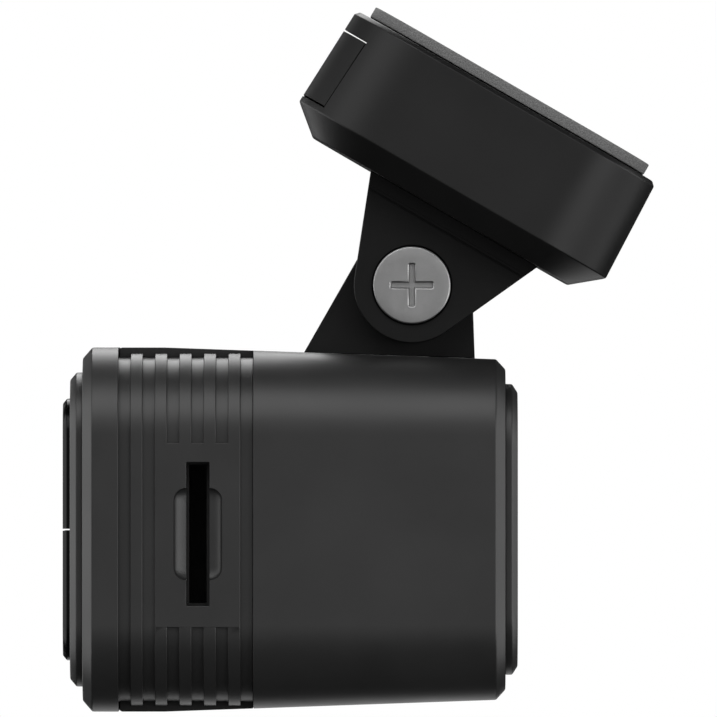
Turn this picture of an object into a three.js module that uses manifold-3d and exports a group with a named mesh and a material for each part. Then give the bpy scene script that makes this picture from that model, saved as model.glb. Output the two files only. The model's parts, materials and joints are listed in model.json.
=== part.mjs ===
// A dash camera: a square-sectioned camera that tilts on a hinge below a quick-release windshield mount.
// Millimetres. The origin is the centre of the adhesive pad's outer face, +X is the way the lens looks,
// +Z is up, and the near side, with the memory card slot, faces -Y.
import * as THREE from "three";
import { mergeVertices } from "three/addons/utils/BufferGeometryUtils.js";
import Module from "manifold-3d";

const wasm = await Module();
wasm.setup();

// ---------------------------------------------------------------- driving dimensions

const GAP = 0.05; // between pieces that rest on each other
const CORNER_STEPS = 6; // facets in each rounded corner
const ROUND = 24; // sides of a round piece

const BODY = {
  axisZ: -38.15, // height of the lens axis
  rearX: -36.95,
  frontX: -0.62,
  half: 15.66, // half of the height and of the width, where it is widest
  cornerR: 7.57,
  taperStartX: -29.9, // from here to the front the sides close in
  taper: Math.tan(THREE.MathUtils.degToRad(2.03)),
  rearChamfer: { along: 0.83, inset: 0.95 },
  frontChamfer: { along: 0.81, inset: 0.86 },
  seamX: -22.34, // between the rear and the front shell
  cavityHalf: 13.2,
  rearWallX: -35.55, // inner face of the rear wall
  frontWallX: -2.2, // inner face of the front wall
};

const BAND = {
  rearX: -33.99,
  pitch: 1.06, // width of each groove and of each rib
  ribs: 5,
  ribInset: 0.52, // below the body's widest outline
  grooveInset: 0.87,
  grilleHalfY: 8,
};

const SIDE_PANEL = { rearX: -30.75, frontX: -23.36, bottomZ: -8.35, topZ: 7.47 };
const CARD_SLOT = { x: -27.02, z: -0.34, width: 2, height: 12.33 };
const CARD_SOCKET = { frontY: -12.9, rearY: 1.5, mouthWidth: 1.5, mouthHeight: 11.9, halfHeight: 6.9 };
const FINGER_SCOOP = { width: 4.16, height: 7.91, radius: 0.9, depth: 0.8 };
const USB_SLOT = { x: -27.6, z: 0, width: 3.6, height: 9.3 };

const REAR_BEZEL = { half: 13.5, cornerR: 5.3, rearX: -38.03, openingHalf: 11.4, openingR: 3.35 };
const REAR_BUTTON = { half: 11.25, cornerR: 3.2, rearX: -38.66, frontX: -37.35, slit: 0.17, stemZ: 5.6 };
const FRONT_BEZEL = { half: 12.5, cornerR: 5.3, frontX: 0.43, openingR: 8.1 };
const GLASS = { radius: 9.05, rearX: -0.2, frontX: 0.33 };

const POST = { at: 10.3, radius: 2.2 }; // screw posts in the four corners of the case
const MAIN_BOARD = { rearX: -25.9, frontX: -24.7 };
const SENSOR_BOARD = { rearX: -18.4, frontX: -17.6 };
const BUTTON_BOARD = { rearX: -32.9, frontX: -31.9 };
const SWITCH_DEPTH = 1.35;

const MOUNT = {
  tilt: THREE.MathUtils.degToRad(30), // the pad leans forward with the windshield
  padHalf: 13.57,
  padThickness: 0.98,
  topZ: -1.084,
  topHalf: 14.86,
  wideZ: -10.31,
  wideHalf: 15.22,
  bottomZ: -12.38,
  bottomHalf: 12.72,
  cornerR: 7.05,
  cavityHalf: 13,
  floorZ: -10.9, // inner face of the housing's floor
  plateBottomZ: -2.5,
};

const RELEASE = {
  topZ: -3.18,
  bottomZ: -9.62,
  halfY: 12.9,
  slit: 0.15,
  innerX: -12.4,
  travel: 1.2,
  springY: 8,
  springZ: -6.4,
  seatX: -8.2, // face of the ribs that the springs push against
};

const HINGE = {
  x: 1.07, // pivot, in the mount's own tilted frame
  z: -19.16,
  earR: 4.99,
  earInnerY: 4.6,
  earOuterY: 7.6,
  earRearX: -6.93, // where the ears meet the flange
  earFrontX: 9.66,
  flangeTopZ: -12.68,
  flangeBottomZ: -13.45,
  flangeHalfY: 8,
  lugR: 5.2,
  lugHalfY: 4.1,
  shankR: 1.5,
  headR: 3.34,
};

const BRACKET = { footRearX: -17.94, footFrontX: -3.23, screwX: [-14, -6.3] };
const FORK_SCREW = { x: 1.4, y: 6.1 };

// ---------------------------------------------------------------- materials

function finish(color, roughness, metalness = 0) {
  return new THREE.MeshStandardMaterial({ color, roughness, metalness });
}

const FINISH = {
  shell: finish(0x262627, 0.48),
  trim: finish(0x1b1b1c, 0.42),
  mount: finish(0x1a1a1b, 0.35),
  hinge: finish(0x121213, 0.5),
  grille: finish(0x0b0b0c, 0.55),
  foam: finish(0x4a4a4b, 0.95),
  screw: finish(0x9a9a9c, 0.38, 0.85),
  steel: finish(0x8b8d90, 0.3, 1),
  zinc: finish(0x70757a, 0.45, 0.9),
  brass: finish(0xb08d3e, 0.3, 1),
  glass: finish(0x0a0d12, 0.05),
  lens: finish(0x18243a, 0.03),
  barrel: finish(0x0d0d0e, 0.6),
  board: finish(0x123d24, 0.55),
  chip: finish(0x16171a, 0.5),
  thermal: finish(0x8fa3b5, 0.9),
  aluminium: finish(0xb4b7ba, 0.4, 0.9),
  sleeve: finish(0x1d2c55, 0.4),
  copper: finish(0xa86a3a, 0.4, 0.8),
  nylon: finish(0xd8d5cc, 0.6),
};

// ---------------------------------------------------------------- solids

function toSolid(geometry) {
  const bare = geometry.clone();
  bare.deleteAttribute("normal");
  bare.deleteAttribute("uv");
  const merged = mergeVertices(bare, 1e-4);
  const vertProperties = new Float32Array(merged.attributes.position.array);
  const triVerts = new Uint32Array(merged.index.array);
  return new wasm.Manifold(new wasm.Mesh({ numProp: 3, vertProperties, triVerts }));
}

function toGeometry(solid) {
  const mesh = solid.getMesh();
  const geometry = new THREE.BufferGeometry();
  geometry.setAttribute("position", new THREE.BufferAttribute(mesh.vertProperties, 3));
  geometry.setIndex(new THREE.BufferAttribute(mesh.triVerts, 1));
  geometry.computeVertexNormals();
  return geometry;
}

function join(...parts) {
  return toGeometry(parts.map(toSolid).reduce((whole, part) => whole.add(part)));
}

function cut(base, ...tools) {
  return toGeometry(tools.map(toSolid).reduce((rest, tool) => rest.subtract(tool), toSolid(base)));
}

function common(a, b) {
  return toGeometry(toSolid(a).intersect(toSolid(b)));
}

function box([x0, x1], [y0, y1], [z0, z1]) {
  const block = new THREE.BoxGeometry(x1 - x0, y1 - y0, z1 - z0);
  return block.translate((x0 + x1) / 2, (y0 + y1) / 2, (z0 + z1) / 2);
}

// A cylinder along an axis, at the two other coordinates in x, y, z order.
function rod(axis, radius, [from, to], [u, v] = [0, 0], sides = ROUND) {
  const cylinder = new THREE.CylinderGeometry(radius, radius, to - from, sides);
  const middle = (from + to) / 2;
  if (axis === "x") return cylinder.rotateZ(-Math.PI / 2).translate(middle, u, v);
  if (axis === "y") return cylinder.translate(u, middle, v);
  return cylinder.rotateX(Math.PI / 2).translate(u, v, middle);
}

// A solid of revolution about the x axis, from points of radius and x.
function turnedX(profile, sides = ROUND) {
  const points = profile.map(([radius, x]) => new THREE.Vector2(radius, x));
  return new THREE.LatheGeometry(points, sides).rotateZ(-Math.PI / 2);
}

// A solid of revolution about a line along y, from points of radius and y.
function turnedY(profile, [x, z] = [0, 0], sides = ROUND) {
  const points = profile.map(([radius, y]) => new THREE.Vector2(radius, y));
  return new THREE.LatheGeometry(points, sides).translate(x, 0, z);
}

function roundedSquareRing(half, radius) {
  const corner = new THREE.Vector2(half - radius, half - radius);
  const middle = new THREE.Vector2();
  const ring = [];
  for (let quarter = 0; quarter < 4; quarter += 1) {
    const turn = (quarter * Math.PI) / 2;
    const centre = corner.clone().rotateAround(middle, turn);
    for (let step = 0; step <= CORNER_STEPS; step += 1) {
      const angle = turn + ((step / CORNER_STEPS) * Math.PI) / 2;
      ring.push([centre.x + radius * Math.cos(angle), centre.y + radius * Math.sin(angle)]);
    }
  }
  return ring;
}

// A solid through rounded squares { at, half, radius } stacked along z.
function loft(sections) {
  const positions = [];
  const index = [];
  for (const { at, half, radius } of sections) {
    for (const [x, y] of roundedSquareRing(half, radius)) positions.push(x, y, at);
  }
  const count = 4 * (CORNER_STEPS + 1);
  const last = (sections.length - 1) * count;
  for (let start = 0; start < last; start += count) {
    for (let i = 0; i < count; i += 1) {
      const next = (i + 1) % count;
      index.push(start + i, start + next, start + count + next);
      index.push(start + i, start + count + next, start + count + i);
    }
  }
  for (let i = 1; i < count - 1; i += 1) {
    index.push(0, i + 1, i);
    index.push(last, last + i, last + i + 1);
  }
  const geometry = new THREE.BufferGeometry();
  geometry.setAttribute("position", new THREE.Float32BufferAttribute(positions, 3));
  geometry.setIndex(index);
  return geometry;
}

// The same, stacked along x, with the square's sides along y and z.
function loftX(sections) {
  const zToX = new THREE.Matrix4().set(0, 0, 1, 0, 1, 0, 0, 0, 0, 1, 0, 0, 0, 0, 0, 1);
  return loft(sections).applyMatrix4(zToX);
}

function squareX(half, radius, [from, to]) {
  return loftX([{ at: from, half, radius }, { at: to, half, radius }]);
}

// A shape drawn in x and z, extruded along y.
function extrudeY(shape, [from, to], curveSegments = 3) {
  const options = { depth: to - from, bevelEnabled: false, curveSegments };
  return new THREE.ExtrudeGeometry(shape, options).rotateX(Math.PI / 2).translate(0, to, 0);
}

// A rounded rectangle in x and z, for extrudeY.
function roundedRectangle(x, z, width, height, radius) {
  const [right, top] = [x + width / 2, z + height / 2];
  const [left, bottom] = [x - width / 2, z - height / 2];
  const shape = new THREE.Shape();
  shape.absarc(right - radius, top - radius, radius, 0, Math.PI / 2);
  shape.absarc(left + radius, top - radius, radius, Math.PI / 2, Math.PI);
  shape.absarc(left + radius, bottom + radius, radius, Math.PI, Math.PI * 1.5);
  shape.absarc(right - radius, bottom + radius, radius, Math.PI * 1.5, Math.PI * 2);
  return shape;
}

// A round boss joined by its tangents to two points, which both lie above it or both below it.
function bossWithTangents(centre, radius, left, right) {
  const tangentAngle = (point, side) => {
    const [dx, dz] = [point[0] - centre[0], point[1] - centre[1]];
    return Math.atan2(dz, dx) + side * Math.acos(radius / Math.hypot(dx, dz));
  };
  const above = left[1] > centre[1];
  const leftAngle = tangentAngle(left, above ? 1 : -1);
  const rightAngle = tangentAngle(right, above ? -1 : 1);
  const shape = new THREE.Shape();
  shape.moveTo(...right);
  shape.lineTo(...left);
  shape.absarc(...centre, radius, leftAngle, rightAngle, !above);
  return shape;
}

class Helix extends THREE.Curve {
  constructor(radius, turns, length) {
    super();
    Object.assign(this, { radius, turns, length });
  }

  getPoint(t, target = new THREE.Vector3()) {
    const angle = t * this.turns * Math.PI * 2;
    return target.set(t * this.length, this.radius * Math.cos(angle), this.radius * Math.sin(angle));
  }
}

function spring({ radius, wireR, turns, length }) {
  const wire = new THREE.Shape().absarc(0, 0, wireR, 0, Math.PI * 2);
  const extrudePath = new Helix(radius, turns, length);
  return new THREE.ExtrudeGeometry(wire, { steps: turns * 10, curveSegments: 3, extrudePath });
}

// A screw along z with its head up, the seat of the head at z = 0.
function smallScrew({ headR, headHeight, shankR, shankLength }) {
  const head = rod("z", headR, [0, headHeight]);
  const slotHalf = headR * 0.62;
  const slotZ = [headHeight * 0.5, headHeight * 2];
  const shank = rod("z", shankR, [-shankLength, headHeight * 0.3], [0, 0], 12);
  const slots = [
    box([-slotHalf, slotHalf], [-0.18, 0.18], slotZ),
    box([-0.18, 0.18], [-slotHalf, slotHalf], slotZ),
  ];
  return cut(join(head, shank), ...slots);
}

function piece(name, geometry, material) {
  const mesh = new THREE.Mesh(geometry, material);
  mesh.name = name;
  return mesh;
}

const square = (half) => [-half, half];
const around = (middle, size) => [middle - size / 2, middle + size / 2];

// ---------------------------------------------------------------- case of the camera

function bodyHalf(x) {
  return BODY.half - Math.max(0, x - BODY.taperStartX) * BODY.taper;
}

function bodySection(x, inset = 0) {
  const half = bodyHalf(x) - inset;
  return { at: x, half, radius: BODY.cornerR - (BODY.half - half) };
}

function bandSection(inset, [from, to]) {
  return squareX(BODY.half - inset, BODY.cornerR - inset, [from, to]);
}

function cavity(range) {
  return squareX(BODY.cavityHalf, BODY.cornerR - (BODY.half - BODY.cavityHalf), range);
}

function posts(radius, range) {
  const spots = [-POST.at, POST.at].flatMap((y) => [-POST.at, POST.at].map((z) => [y, z]));
  return spots.map((spot) => rod("x", radius, range, spot, 12));
}

function bandRibs() {
  const ribs = [];
  for (let i = 0; i < BAND.ribs; i += 1) {
    const from = BAND.rearX + BAND.pitch * (2 * i + 1);
    ribs.push(bandSection(BAND.ribInset, [from, from + BAND.pitch]));
  }
  return ribs;
}

function rearShell() {
  const { rearChamfer, rearX, rearWallX, seamX } = BODY;
  const cap = loftX([
    bodySection(rearX, rearChamfer.inset),
    bodySection(rearX + rearChamfer.along),
    bodySection(BAND.rearX),
  ]);
  const ribLevel = BODY.half - BAND.ribInset;
  const panelX = [SIDE_PANEL.rearX, SIDE_PANEL.frontX];
  const panelZ = [SIDE_PANEL.bottomZ, SIDE_PANEL.topZ];
  const outside = join(
    cap,
    bandSection(BAND.grooveInset, [BAND.rearX - 1, seamX]),
    ...bandRibs(),
    box(panelX, [-ribLevel, -BODY.cavityHalf], panelZ),
    box(panelX, [BODY.cavityHalf, ribLevel], panelZ),
  );
  const tongue = cut(
    join(squareX(13.3, 5.2, [seamX - 2, seamX - 0.5]), squareX(13, 4.9, [seamX - 1, seamX + 1])),
    squareX(12.2, 4.1, [seamX - 3, seamX + 2]),
  );
  const hollow = join(
    cut(outside, cavity([rearWallX, seamX + 1])),
    ...posts(POST.radius, [rearWallX - 0.5, seamX]),
  );
  const grilleX = [BAND.rearX, seamX + 3];
  const windowX = [BAND.rearX + 1.4, seamX - 1.4];
  const tools = [
    ...posts(0.95, [rearX - 1, 0]),
    ...posts(1.6, [rearX - 1, rearX + 1]),
    rod("x", 1.75, [rearX - 1, rearWallX + 1], [0, REAR_BUTTON.stemZ]),
    rod("x", 1.75, [rearX - 1, rearWallX + 1], [0, -REAR_BUTTON.stemZ]),
    box(around(CARD_SLOT.x, CARD_SLOT.width), [-20, -12.5], around(CARD_SLOT.z, CARD_SLOT.height)),
    extrudeY(roundedRectangle(CARD_SLOT.x, CARD_SLOT.z, FINGER_SCOOP.width, FINGER_SCOOP.height,
      FINGER_SCOOP.radius), [-20, -ribLevel + FINGER_SCOOP.depth]),
    extrudeY(roundedRectangle(USB_SLOT.x, USB_SLOT.z, USB_SLOT.width, USB_SLOT.height, 1.7), [12.5, 20]),
  ];
  for (const up of [-1, 1]) {
    const pocketZ = [14.1 * up, 17 * up].sort((a, b) => a - b);
    const windowZ = [12.5 * up, 17 * up].sort((a, b) => a - b);
    tools.push(box(grilleX, square(BAND.grilleHalfY + 0.1), pocketZ));
    tools.push(box(windowX, square(BAND.grilleHalfY - 1.4), windowZ));
  }
  return join(cut(hollow, ...tools), tongue);
}

function frontShell() {
  const { frontChamfer, frontX, frontWallX, seamX } = BODY;
  const outside = loftX([
    bodySection(seamX + GAP),
    bodySection(frontX - frontChamfer.along),
    bodySection(frontX, frontChamfer.inset),
  ]);
  const hollow = join(
    cut(outside, cavity([seamX - 1, frontWallX])),
    ...posts(POST.radius, [seamX + 1.2, frontWallX + 0.5]),
  );
  return cut(
    hollow,
    ...posts(0.9, [seamX - 1, -16.5]),
    rod("x", 9.35, [frontWallX - 1, frontX + 1], [0, 0], 36),
    ...BRACKET.screwX.map((x) => rod("z", 1, [12.5, 16], [x, 0], 12)),
  );
}

// A louvred insert that fills the band's window, level with the body's outline.
function ventGrille() {
  const rear = BAND.rearX + GAP;
  const front = BODY.seamX;
  const bottom = 14.15;
  const shape = new THREE.Shape();
  shape.moveTo(front, bottom);
  shape.lineTo(front, bodyHalf(front));
  shape.lineTo(BODY.taperStartX, bodyHalf(BODY.taperStartX));
  shape.absarc(rear + 0.6, BODY.half - 0.6, 0.6, Math.PI / 2, Math.PI);
  shape.lineTo(rear, bottom);
  const slots = [];
  for (let i = 0; i < BAND.ribs; i += 1) {
    const from = BAND.rearX + BAND.pitch * (2 * i + 1) + 0.08;
    slots.push(box([from, from + 0.9], square(BAND.grilleHalfY - 1.7), [13, 17]));
  }
  return cut(extrudeY(shape, square(BAND.grilleHalfY)), ...slots);
}

function rearBezel() {
  const { half, cornerR, rearX, openingHalf, openingR } = REAR_BEZEL;
  const [along, inset] = [0.55, 0.65];
  const plate = loftX([
    { at: rearX, half: half - inset, radius: cornerR - inset },
    { at: rearX + along, half, radius: cornerR },
    { at: BODY.rearX - GAP, half, radius: cornerR },
  ]);
  return cut(plate, squareX(openingHalf, openingR, [rearX - 1, BODY.rearX + 1]));
}

// One of the two push buttons that share the rear face, above (side = 1) or below (side = -1) the slit.
function rearButton(side) {
  const { half, cornerR, rearX, frontX, slit, stemZ } = REAR_BUTTON;
  const [along, inset] = [0.35, 0.43];
  const cap = loftX([
    { at: rearX, half: half - inset, radius: cornerR - inset },
    { at: rearX + along, half, radius: cornerR },
    { at: frontX, half, radius: cornerR },
  ]);
  const halfPlane = [(slit / 2) * side, 20 * side].sort((a, b) => a - b);
  return join(
    common(cap, box([rearX - 1, frontX + 1], square(20), halfPlane)),
    rod("x", 1.55, [frontX - 0.5, -35], [0, stemZ * side]),
    rod("x", 2, [-35.42, -35.1], [0, stemZ * side]),
  );
}

function frontBezel() {
  const { half, cornerR, frontX, openingR } = FRONT_BEZEL;
  const [along, inset] = [0.47, 0.73];
  const plate = loftX([
    { at: BODY.frontX + GAP, half, radius: cornerR },
    { at: frontX - along, half, radius: cornerR },
    { at: frontX, half: half - inset, radius: cornerR - inset },
  ]);
  const seat = rod("x", GLASS.radius + 0.1, [GLASS.rearX - GAP, frontX + 1], [0, 0], 36);
  return cut(plate, rod("x", openingR, [BODY.frontX - 1, frontX + 1], [0, 0], 36), seat);
}

function addCase(camera) {
  camera.add(
    piece("rear_shell", rearShell(), FINISH.shell),
    piece("front_shell", frontShell(), FINISH.shell),
    piece("top_vent_grille", ventGrille(), FINISH.grille),
    piece("bottom_vent_grille", ventGrille().rotateX(Math.PI), FINISH.grille),
    piece("rear_bezel", rearBezel(), FINISH.trim),
    piece("upper_button", rearButton(1), FINISH.trim),
    piece("lower_button", rearButton(-1), FINISH.trim),
    piece("front_bezel", frontBezel(), FINISH.trim),
  );
  const screw = { headR: 1.45, headHeight: 0.85, shankR: 0.75, shankLength: 18.5 };
  const corners = [[-1, -1], [-1, 1], [1, -1], [1, 1]];
  corners.forEach(([y, z], i) => {
    const caseScrew = piece(`case_screw_${i + 1}`, smallScrew(screw).rotateY(-Math.PI / 2), FINISH.steel);
    caseScrew.position.set(BODY.rearX + 0.95, POST.at * y, POST.at * z);
    camera.add(caseScrew);
  });
}

// ---------------------------------------------------------------- lens and sensor

function lensShroud() {
  return turnedX([
    [8.1, -0.75], [5.7, -3.3], [7.4, -3.3], [7.4, -2.1], [9.2, -2.1], [9.2, -0.75], [8.1, -0.75],
  ]);
}

function lensBarrel() {
  return turnedX([
    [5.3, -3.4], [6.9, -3.4], [6.9, -5], [6, -5], [6, -15.4], [3, -15.4], [3, -12], [3.4, -12], [3.4, -9],
    [4.3, -9], [4.3, -6.4], [5.3, -6.4], [5.3, -3.4],
  ].reverse());
}

// A lens with a domed front, from its rear face to the top of the dome.
function domedLens(radius, rearX, edgeX, sag) {
  const sphereR = (radius * radius + sag * sag) / (2 * sag);
  const profile = [[0, rearX], [radius, rearX]];
  const steps = 5;
  for (let i = 0; i <= steps; i += 1) {
    const r = radius * (1 - i / steps);
    profile.push([r, edgeX + sag - sphereR + Math.sqrt(sphereR * sphereR - r * r)]);
  }
  return turnedX(profile);
}

function lensHolder() {
  const base = box([SENSOR_BOARD.frontX + GAP, -15], square(6.9), square(6.9));
  const tube = rod("x", 7, [-15.4, -9], [0, 0], 32);
  return cut(
    join(base, tube),
    box([-18, -15.7], square(4.7), square(4.7)),
    rod("x", 4.5, [-16, -15.2]),
    rod("x", 6.1, [-15.45, -8], [0, 0], 32),
  );
}

function addOptics(camera) {
  const glass = rod("x", GLASS.radius, [GLASS.rearX, GLASS.frontX], [0, 0], 36);
  const boardX = [SENSOR_BOARD.rearX, SENSOR_BOARD.frontX];
  camera.add(
    piece("cover_glass", glass, FINISH.glass),
    piece("lens_shroud", lensShroud(), FINISH.barrel),
    piece("lens_barrel", lensBarrel(), FINISH.barrel),
    piece("front_lens", domedLens(5.2, -6.3, -4.3, 1.3), FINISH.lens),
    piece("middle_lens", domedLens(4.2, -8.9, -7.6, 0.7), FINISH.lens),
    piece("rear_lens", domedLens(3.3, -11.9, -10.6, 0.6), FINISH.lens),
    piece("infrared_filter", box([-16.4, -16.1], square(4.2), square(4.2)), FINISH.lens),
    piece("image_sensor", box([SENSOR_BOARD.frontX + GAP, -16.7], square(3.8), square(3.1)), FINISH.chip),
    piece("lens_holder", lensHolder(), FINISH.barrel),
    piece("sensor_board", box(boardX, square(7), square(7)), FINISH.board),
  );
}

// ---------------------------------------------------------------- electronics

// The main board, whose corners are taken off where it passes the screw posts.
function mainBoard() {
  const board = box([MAIN_BOARD.rearX, MAIN_BOARD.frontX], square(12.6), square(12.6));
  return cut(board, ...posts(POST.radius + 1.2, [MAIN_BOARD.rearX - 1, MAIN_BOARD.frontX + 1]));
}

function cardSocket() {
  const { x, z } = CARD_SLOT;
  const { frontY, rearY, mouthWidth, mouthHeight, halfHeight } = CARD_SOCKET;
  const shell = box([x - 1, MAIN_BOARD.rearX - GAP], [frontY, rearY], [z - halfHeight, z + halfHeight]);
  return cut(shell, box(around(x, mouthWidth), [frontY - 1, rearY - 1], around(z, mouthHeight)));
}

function usbSocket() {
  const { x, z } = USB_SLOT;
  const shell = extrudeY(roundedRectangle(x, z, 3.26, 8.94, 1.6), [5.9, 13.25]);
  const inside = extrudeY(roundedRectangle(x, z, 2.56, 8.34, 1.25), [6.9, 14]);
  const tongue = box([x - 0.35, x + 0.35], [6.5, 12.4], [z - 3.35, z + 3.35]);
  return join(cut(shell, inside), tongue);
}

function capacitor(z) {
  return rod("y", 2.9, square(7), [-18.3, z]);
}

function switchBody(side) {
  const z = REAR_BUTTON.stemZ * side;
  const rearX = BUTTON_BOARD.rearX - SWITCH_DEPTH;
  const body = box([rearX, BUTTON_BOARD.rearX - GAP], square(2.2), [z - 2.2, z + 2.2]);
  return cut(body, rod("x", 1.05, [rearX - 1, rearX + 0.95], [0, z], 16));
}

function switchPlunger(side) {
  return rod("x", 0.9, [-34.9, -33.95], [0, REAR_BUTTON.stemZ * side], 16);
}

function ribbonCable() {
  const outline = [[-24.6, 9.3], [-24.6, 9.5], [-17.8, 9.5], [-17.8, 7.1], [-18, 7.1], [-18, 9.3]];
  const shape = new THREE.Shape(outline.map(([x, y]) => new THREE.Vector2(x, y)));
  return new THREE.ExtrudeGeometry(shape, { depth: 7, bevelEnabled: false }).translate(0, 0, -3.5);
}

function addElectronics(camera) {
  const chipX = MAIN_BOARD.frontX + GAP;
  const { rearX: buttonBoardRear, frontX: buttonBoardFront } = BUTTON_BOARD;
  const buttonBoard = box([buttonBoardRear, buttonBoardFront], square(8.6), square(8.6));
  const microphone = box([buttonBoardRear - 1, buttonBoardRear - GAP], [4, 7], square(1));
  const connector = box([buttonBoardFront + GAP, MAIN_BOARD.rearX - GAP], square(5), [-9, -7.5]);
  const speaker = extrudeY(roundedRectangle(-31, -11.85, 3.6, 2.4, 0.8), square(7.5));
  camera.add(
    piece("main_board", mainBoard(), FINISH.board),
    piece("processor", box([chipX, -23.4], square(6), square(6)), FINISH.chip),
    piece("memory_chip", box([chipX, -23.8], square(4), [-11.4, -7.6]), FINISH.chip),
    piece("thermal_pad", box([-23.35, -22.85], square(5.5), square(5.5)), FINISH.thermal),
    piece("heat_spreader", box([-22.8, -22], square(7.8), square(7)), FINISH.aluminium),
    piece("card_socket", cardSocket(), FINISH.chip),
    piece("usb_socket", usbSocket(), FINISH.steel),
    piece("upper_capacitor", capacitor(10.15), FINISH.sleeve),
    piece("lower_capacitor", capacitor(-10.15), FINISH.sleeve),
    piece("speaker", speaker, FINISH.chip),
    piece("wifi_antenna", box([-15, -7], [12.5, 12.8], square(5)), FINISH.copper),
    piece("sensor_ribbon", ribbonCable(), FINISH.copper),
    piece("button_board", buttonBoard, FINISH.board),
    piece("microphone", microphone, FINISH.steel),
    piece("board_connector", connector, FINISH.nylon),
  );
  for (const [name, side] of [["upper", 1], ["lower", -1]]) {
    camera.add(piece(`${name}_switch`, switchBody(side), FINISH.chip));
    camera.add(piece(`${name}_switch_plunger`, switchPlunger(side), FINISH.nylon));
  }
}

// ---------------------------------------------------------------- hinge, on the camera

// The hinge's pivot in the camera's frame, whose origin is on the lens axis.
const pivotX = HINGE.x * Math.cos(MOUNT.tilt) + HINGE.z * Math.sin(MOUNT.tilt);
const pivotZ = HINGE.z * Math.cos(MOUNT.tilt) - HINGE.x * Math.sin(MOUNT.tilt) - BODY.axisZ;

function hingeBracket() {
  const { footRearX, footFrontX } = BRACKET;
  const rearFoot = [footRearX, bodyHalf(footRearX) + GAP];
  const frontFoot = [footFrontX, bodyHalf(footFrontX) + GAP];
  const profile = bossWithTangents([pivotX, pivotZ], HINGE.lugR, rearFoot, frontFoot);
  return cut(
    extrudeY(profile, square(HINGE.lugHalfY), 10),
    rod("y", 2.5, square(10), [pivotX, pivotZ]),
    ...BRACKET.screwX.map((x) => rod("z", 1, [13, 17.9], [x, 0], 12)),
  );
}

function addBracket(camera) {
  const bush = cut(
    rod("y", 2.4, square(HINGE.lugHalfY - 0.1), [pivotX, pivotZ]),
    rod("y", 1.62, square(10), [pivotX, pivotZ]),
  );
  camera.add(piece("hinge_bracket", hingeBracket(), FINISH.hinge), piece("hinge_bush", bush, FINISH.brass));
  const screw = { headR: 1.7, headHeight: 0.9, shankR: 0.85, shankLength: 4.5 };
  BRACKET.screwX.forEach((x, i) => {
    const bracketScrew = piece(`bracket_screw_${i + 1}`, smallScrew(screw).rotateX(Math.PI), FINISH.steel);
    bracketScrew.position.set(x, 0, BODY.cavityHalf - GAP);
    camera.add(bracketScrew);
  });
}

// ---------------------------------------------------------------- mount

function mountSection(at, half) {
  return { at, half, radius: MOUNT.cornerR + half - MOUNT.topHalf };
}

function mountOutline() {
  const edge = 0.35;
  return loft([
    mountSection(MOUNT.bottomZ, MOUNT.bottomHalf),
    mountSection(MOUNT.wideZ, MOUNT.wideHalf),
    mountSection(MOUNT.topZ - edge, MOUNT.topHalf),
    mountSection(MOUNT.topZ, MOUNT.topHalf - edge),
  ]);
}

function mountSquare(half, [from, to]) {
  return loft([mountSection(from, half), mountSection(to, half)]);
}

function springSeats() {
  const { seatX, springY, springZ } = RELEASE;
  return [-1, 1].map((side) => {
    return box([seatX, seatX + 1], around(springY * side, 5.2), [MOUNT.floorZ - 0.5, springZ + 2.2]);
  });
}

function mountHousing() {
  const { topZ, bottomZ, halfY, slit, innerX, travel } = RELEASE;
  const pocketX = [-20, innerX + travel + 0.2];
  const hollow = cut(
    mountOutline(),
    mountSquare(MOUNT.cavityHalf, [MOUNT.floorZ, 0]),
    mountSquare(13.5, [MOUNT.plateBottomZ - 0.1, 0]),
    box(pocketX, square(halfY + slit), [bottomZ - slit, topZ + slit]),
    box([-14.35, pocketX[1]], square(3.15), [bottomZ - 0.85, topZ]),
  );
  const forkScrewHoles = [-FORK_SCREW.y, FORK_SCREW.y].map((y) => {
    return rod("z", 1.1, [-13, -10], [FORK_SCREW.x, y], 12);
  });
  return cut(join(hollow, ...springSeats()), ...forkScrewHoles);
}

// The sprung button at the rear of the mount, with the hook that catches the windshield plate.
function releaseButton() {
  const { topZ, bottomZ, halfY, innerX } = RELEASE;
  const face = common(mountOutline(), box([-20, innerX], square(halfY), [bottomZ, topZ]));
  const pegs = [-1, 1].map((side) => {
    return rod("x", 1, [innerX - 0.5, innerX + 0.9], [RELEASE.springY * side, RELEASE.springZ], 12);
  });
  return join(
    face,
    box([-14.2, innerX], square(3), [bottomZ - 0.68, bottomZ + 1]),
    box([innerX - 0.5, -7.2], square(2.6), [-6.2, -5]),
    box([-8.4, -7.2], square(2.6), [-5.5, -1.7]),
    ...pegs,
  );
}

function windshieldPlate() {
  const plate = mountSquare(13.35, [MOUNT.plateBottomZ, -MOUNT.padThickness - 0.2]);
  return cut(plate, box([-8.55, -5.85], square(2.8), [-5, 0]));
}

function hingeFork() {
  const { x, z, earR, earInnerY, earOuterY, earRearX, earFrontX } = HINGE;
  const { flangeTopZ, flangeBottomZ, flangeHalfY, headR, shankR } = HINGE;
  const profile = bossWithTangents([x, z], earR, [earRearX, flangeTopZ], [earFrontX, flangeTopZ]);
  const flange = common(
    extrudeY(profile, square(flangeHalfY)),
    box([-20, 20], square(10), [flangeBottomZ, 0]),
  );
  const nearEar = extrudeY(profile, [-earOuterY, -earInnerY], 9);
  const farEar = extrudeY(profile, [earInnerY, earOuterY], 9);
  return cut(
    join(flange, nearEar, farEar),
    rod("y", shankR + 0.1, square(10), [x, z]),
    rod("y", headR + 0.16, [-10, -6.3], [x, z], 32),
    rod("y", 3.3, [5.4, 10], [x, z], 6),
    ...[-1, 1].map((side) => rod("z", 1.05, [-15.2, -12], [FORK_SCREW.x, FORK_SCREW.y * side], 12)),
  );
}

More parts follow.
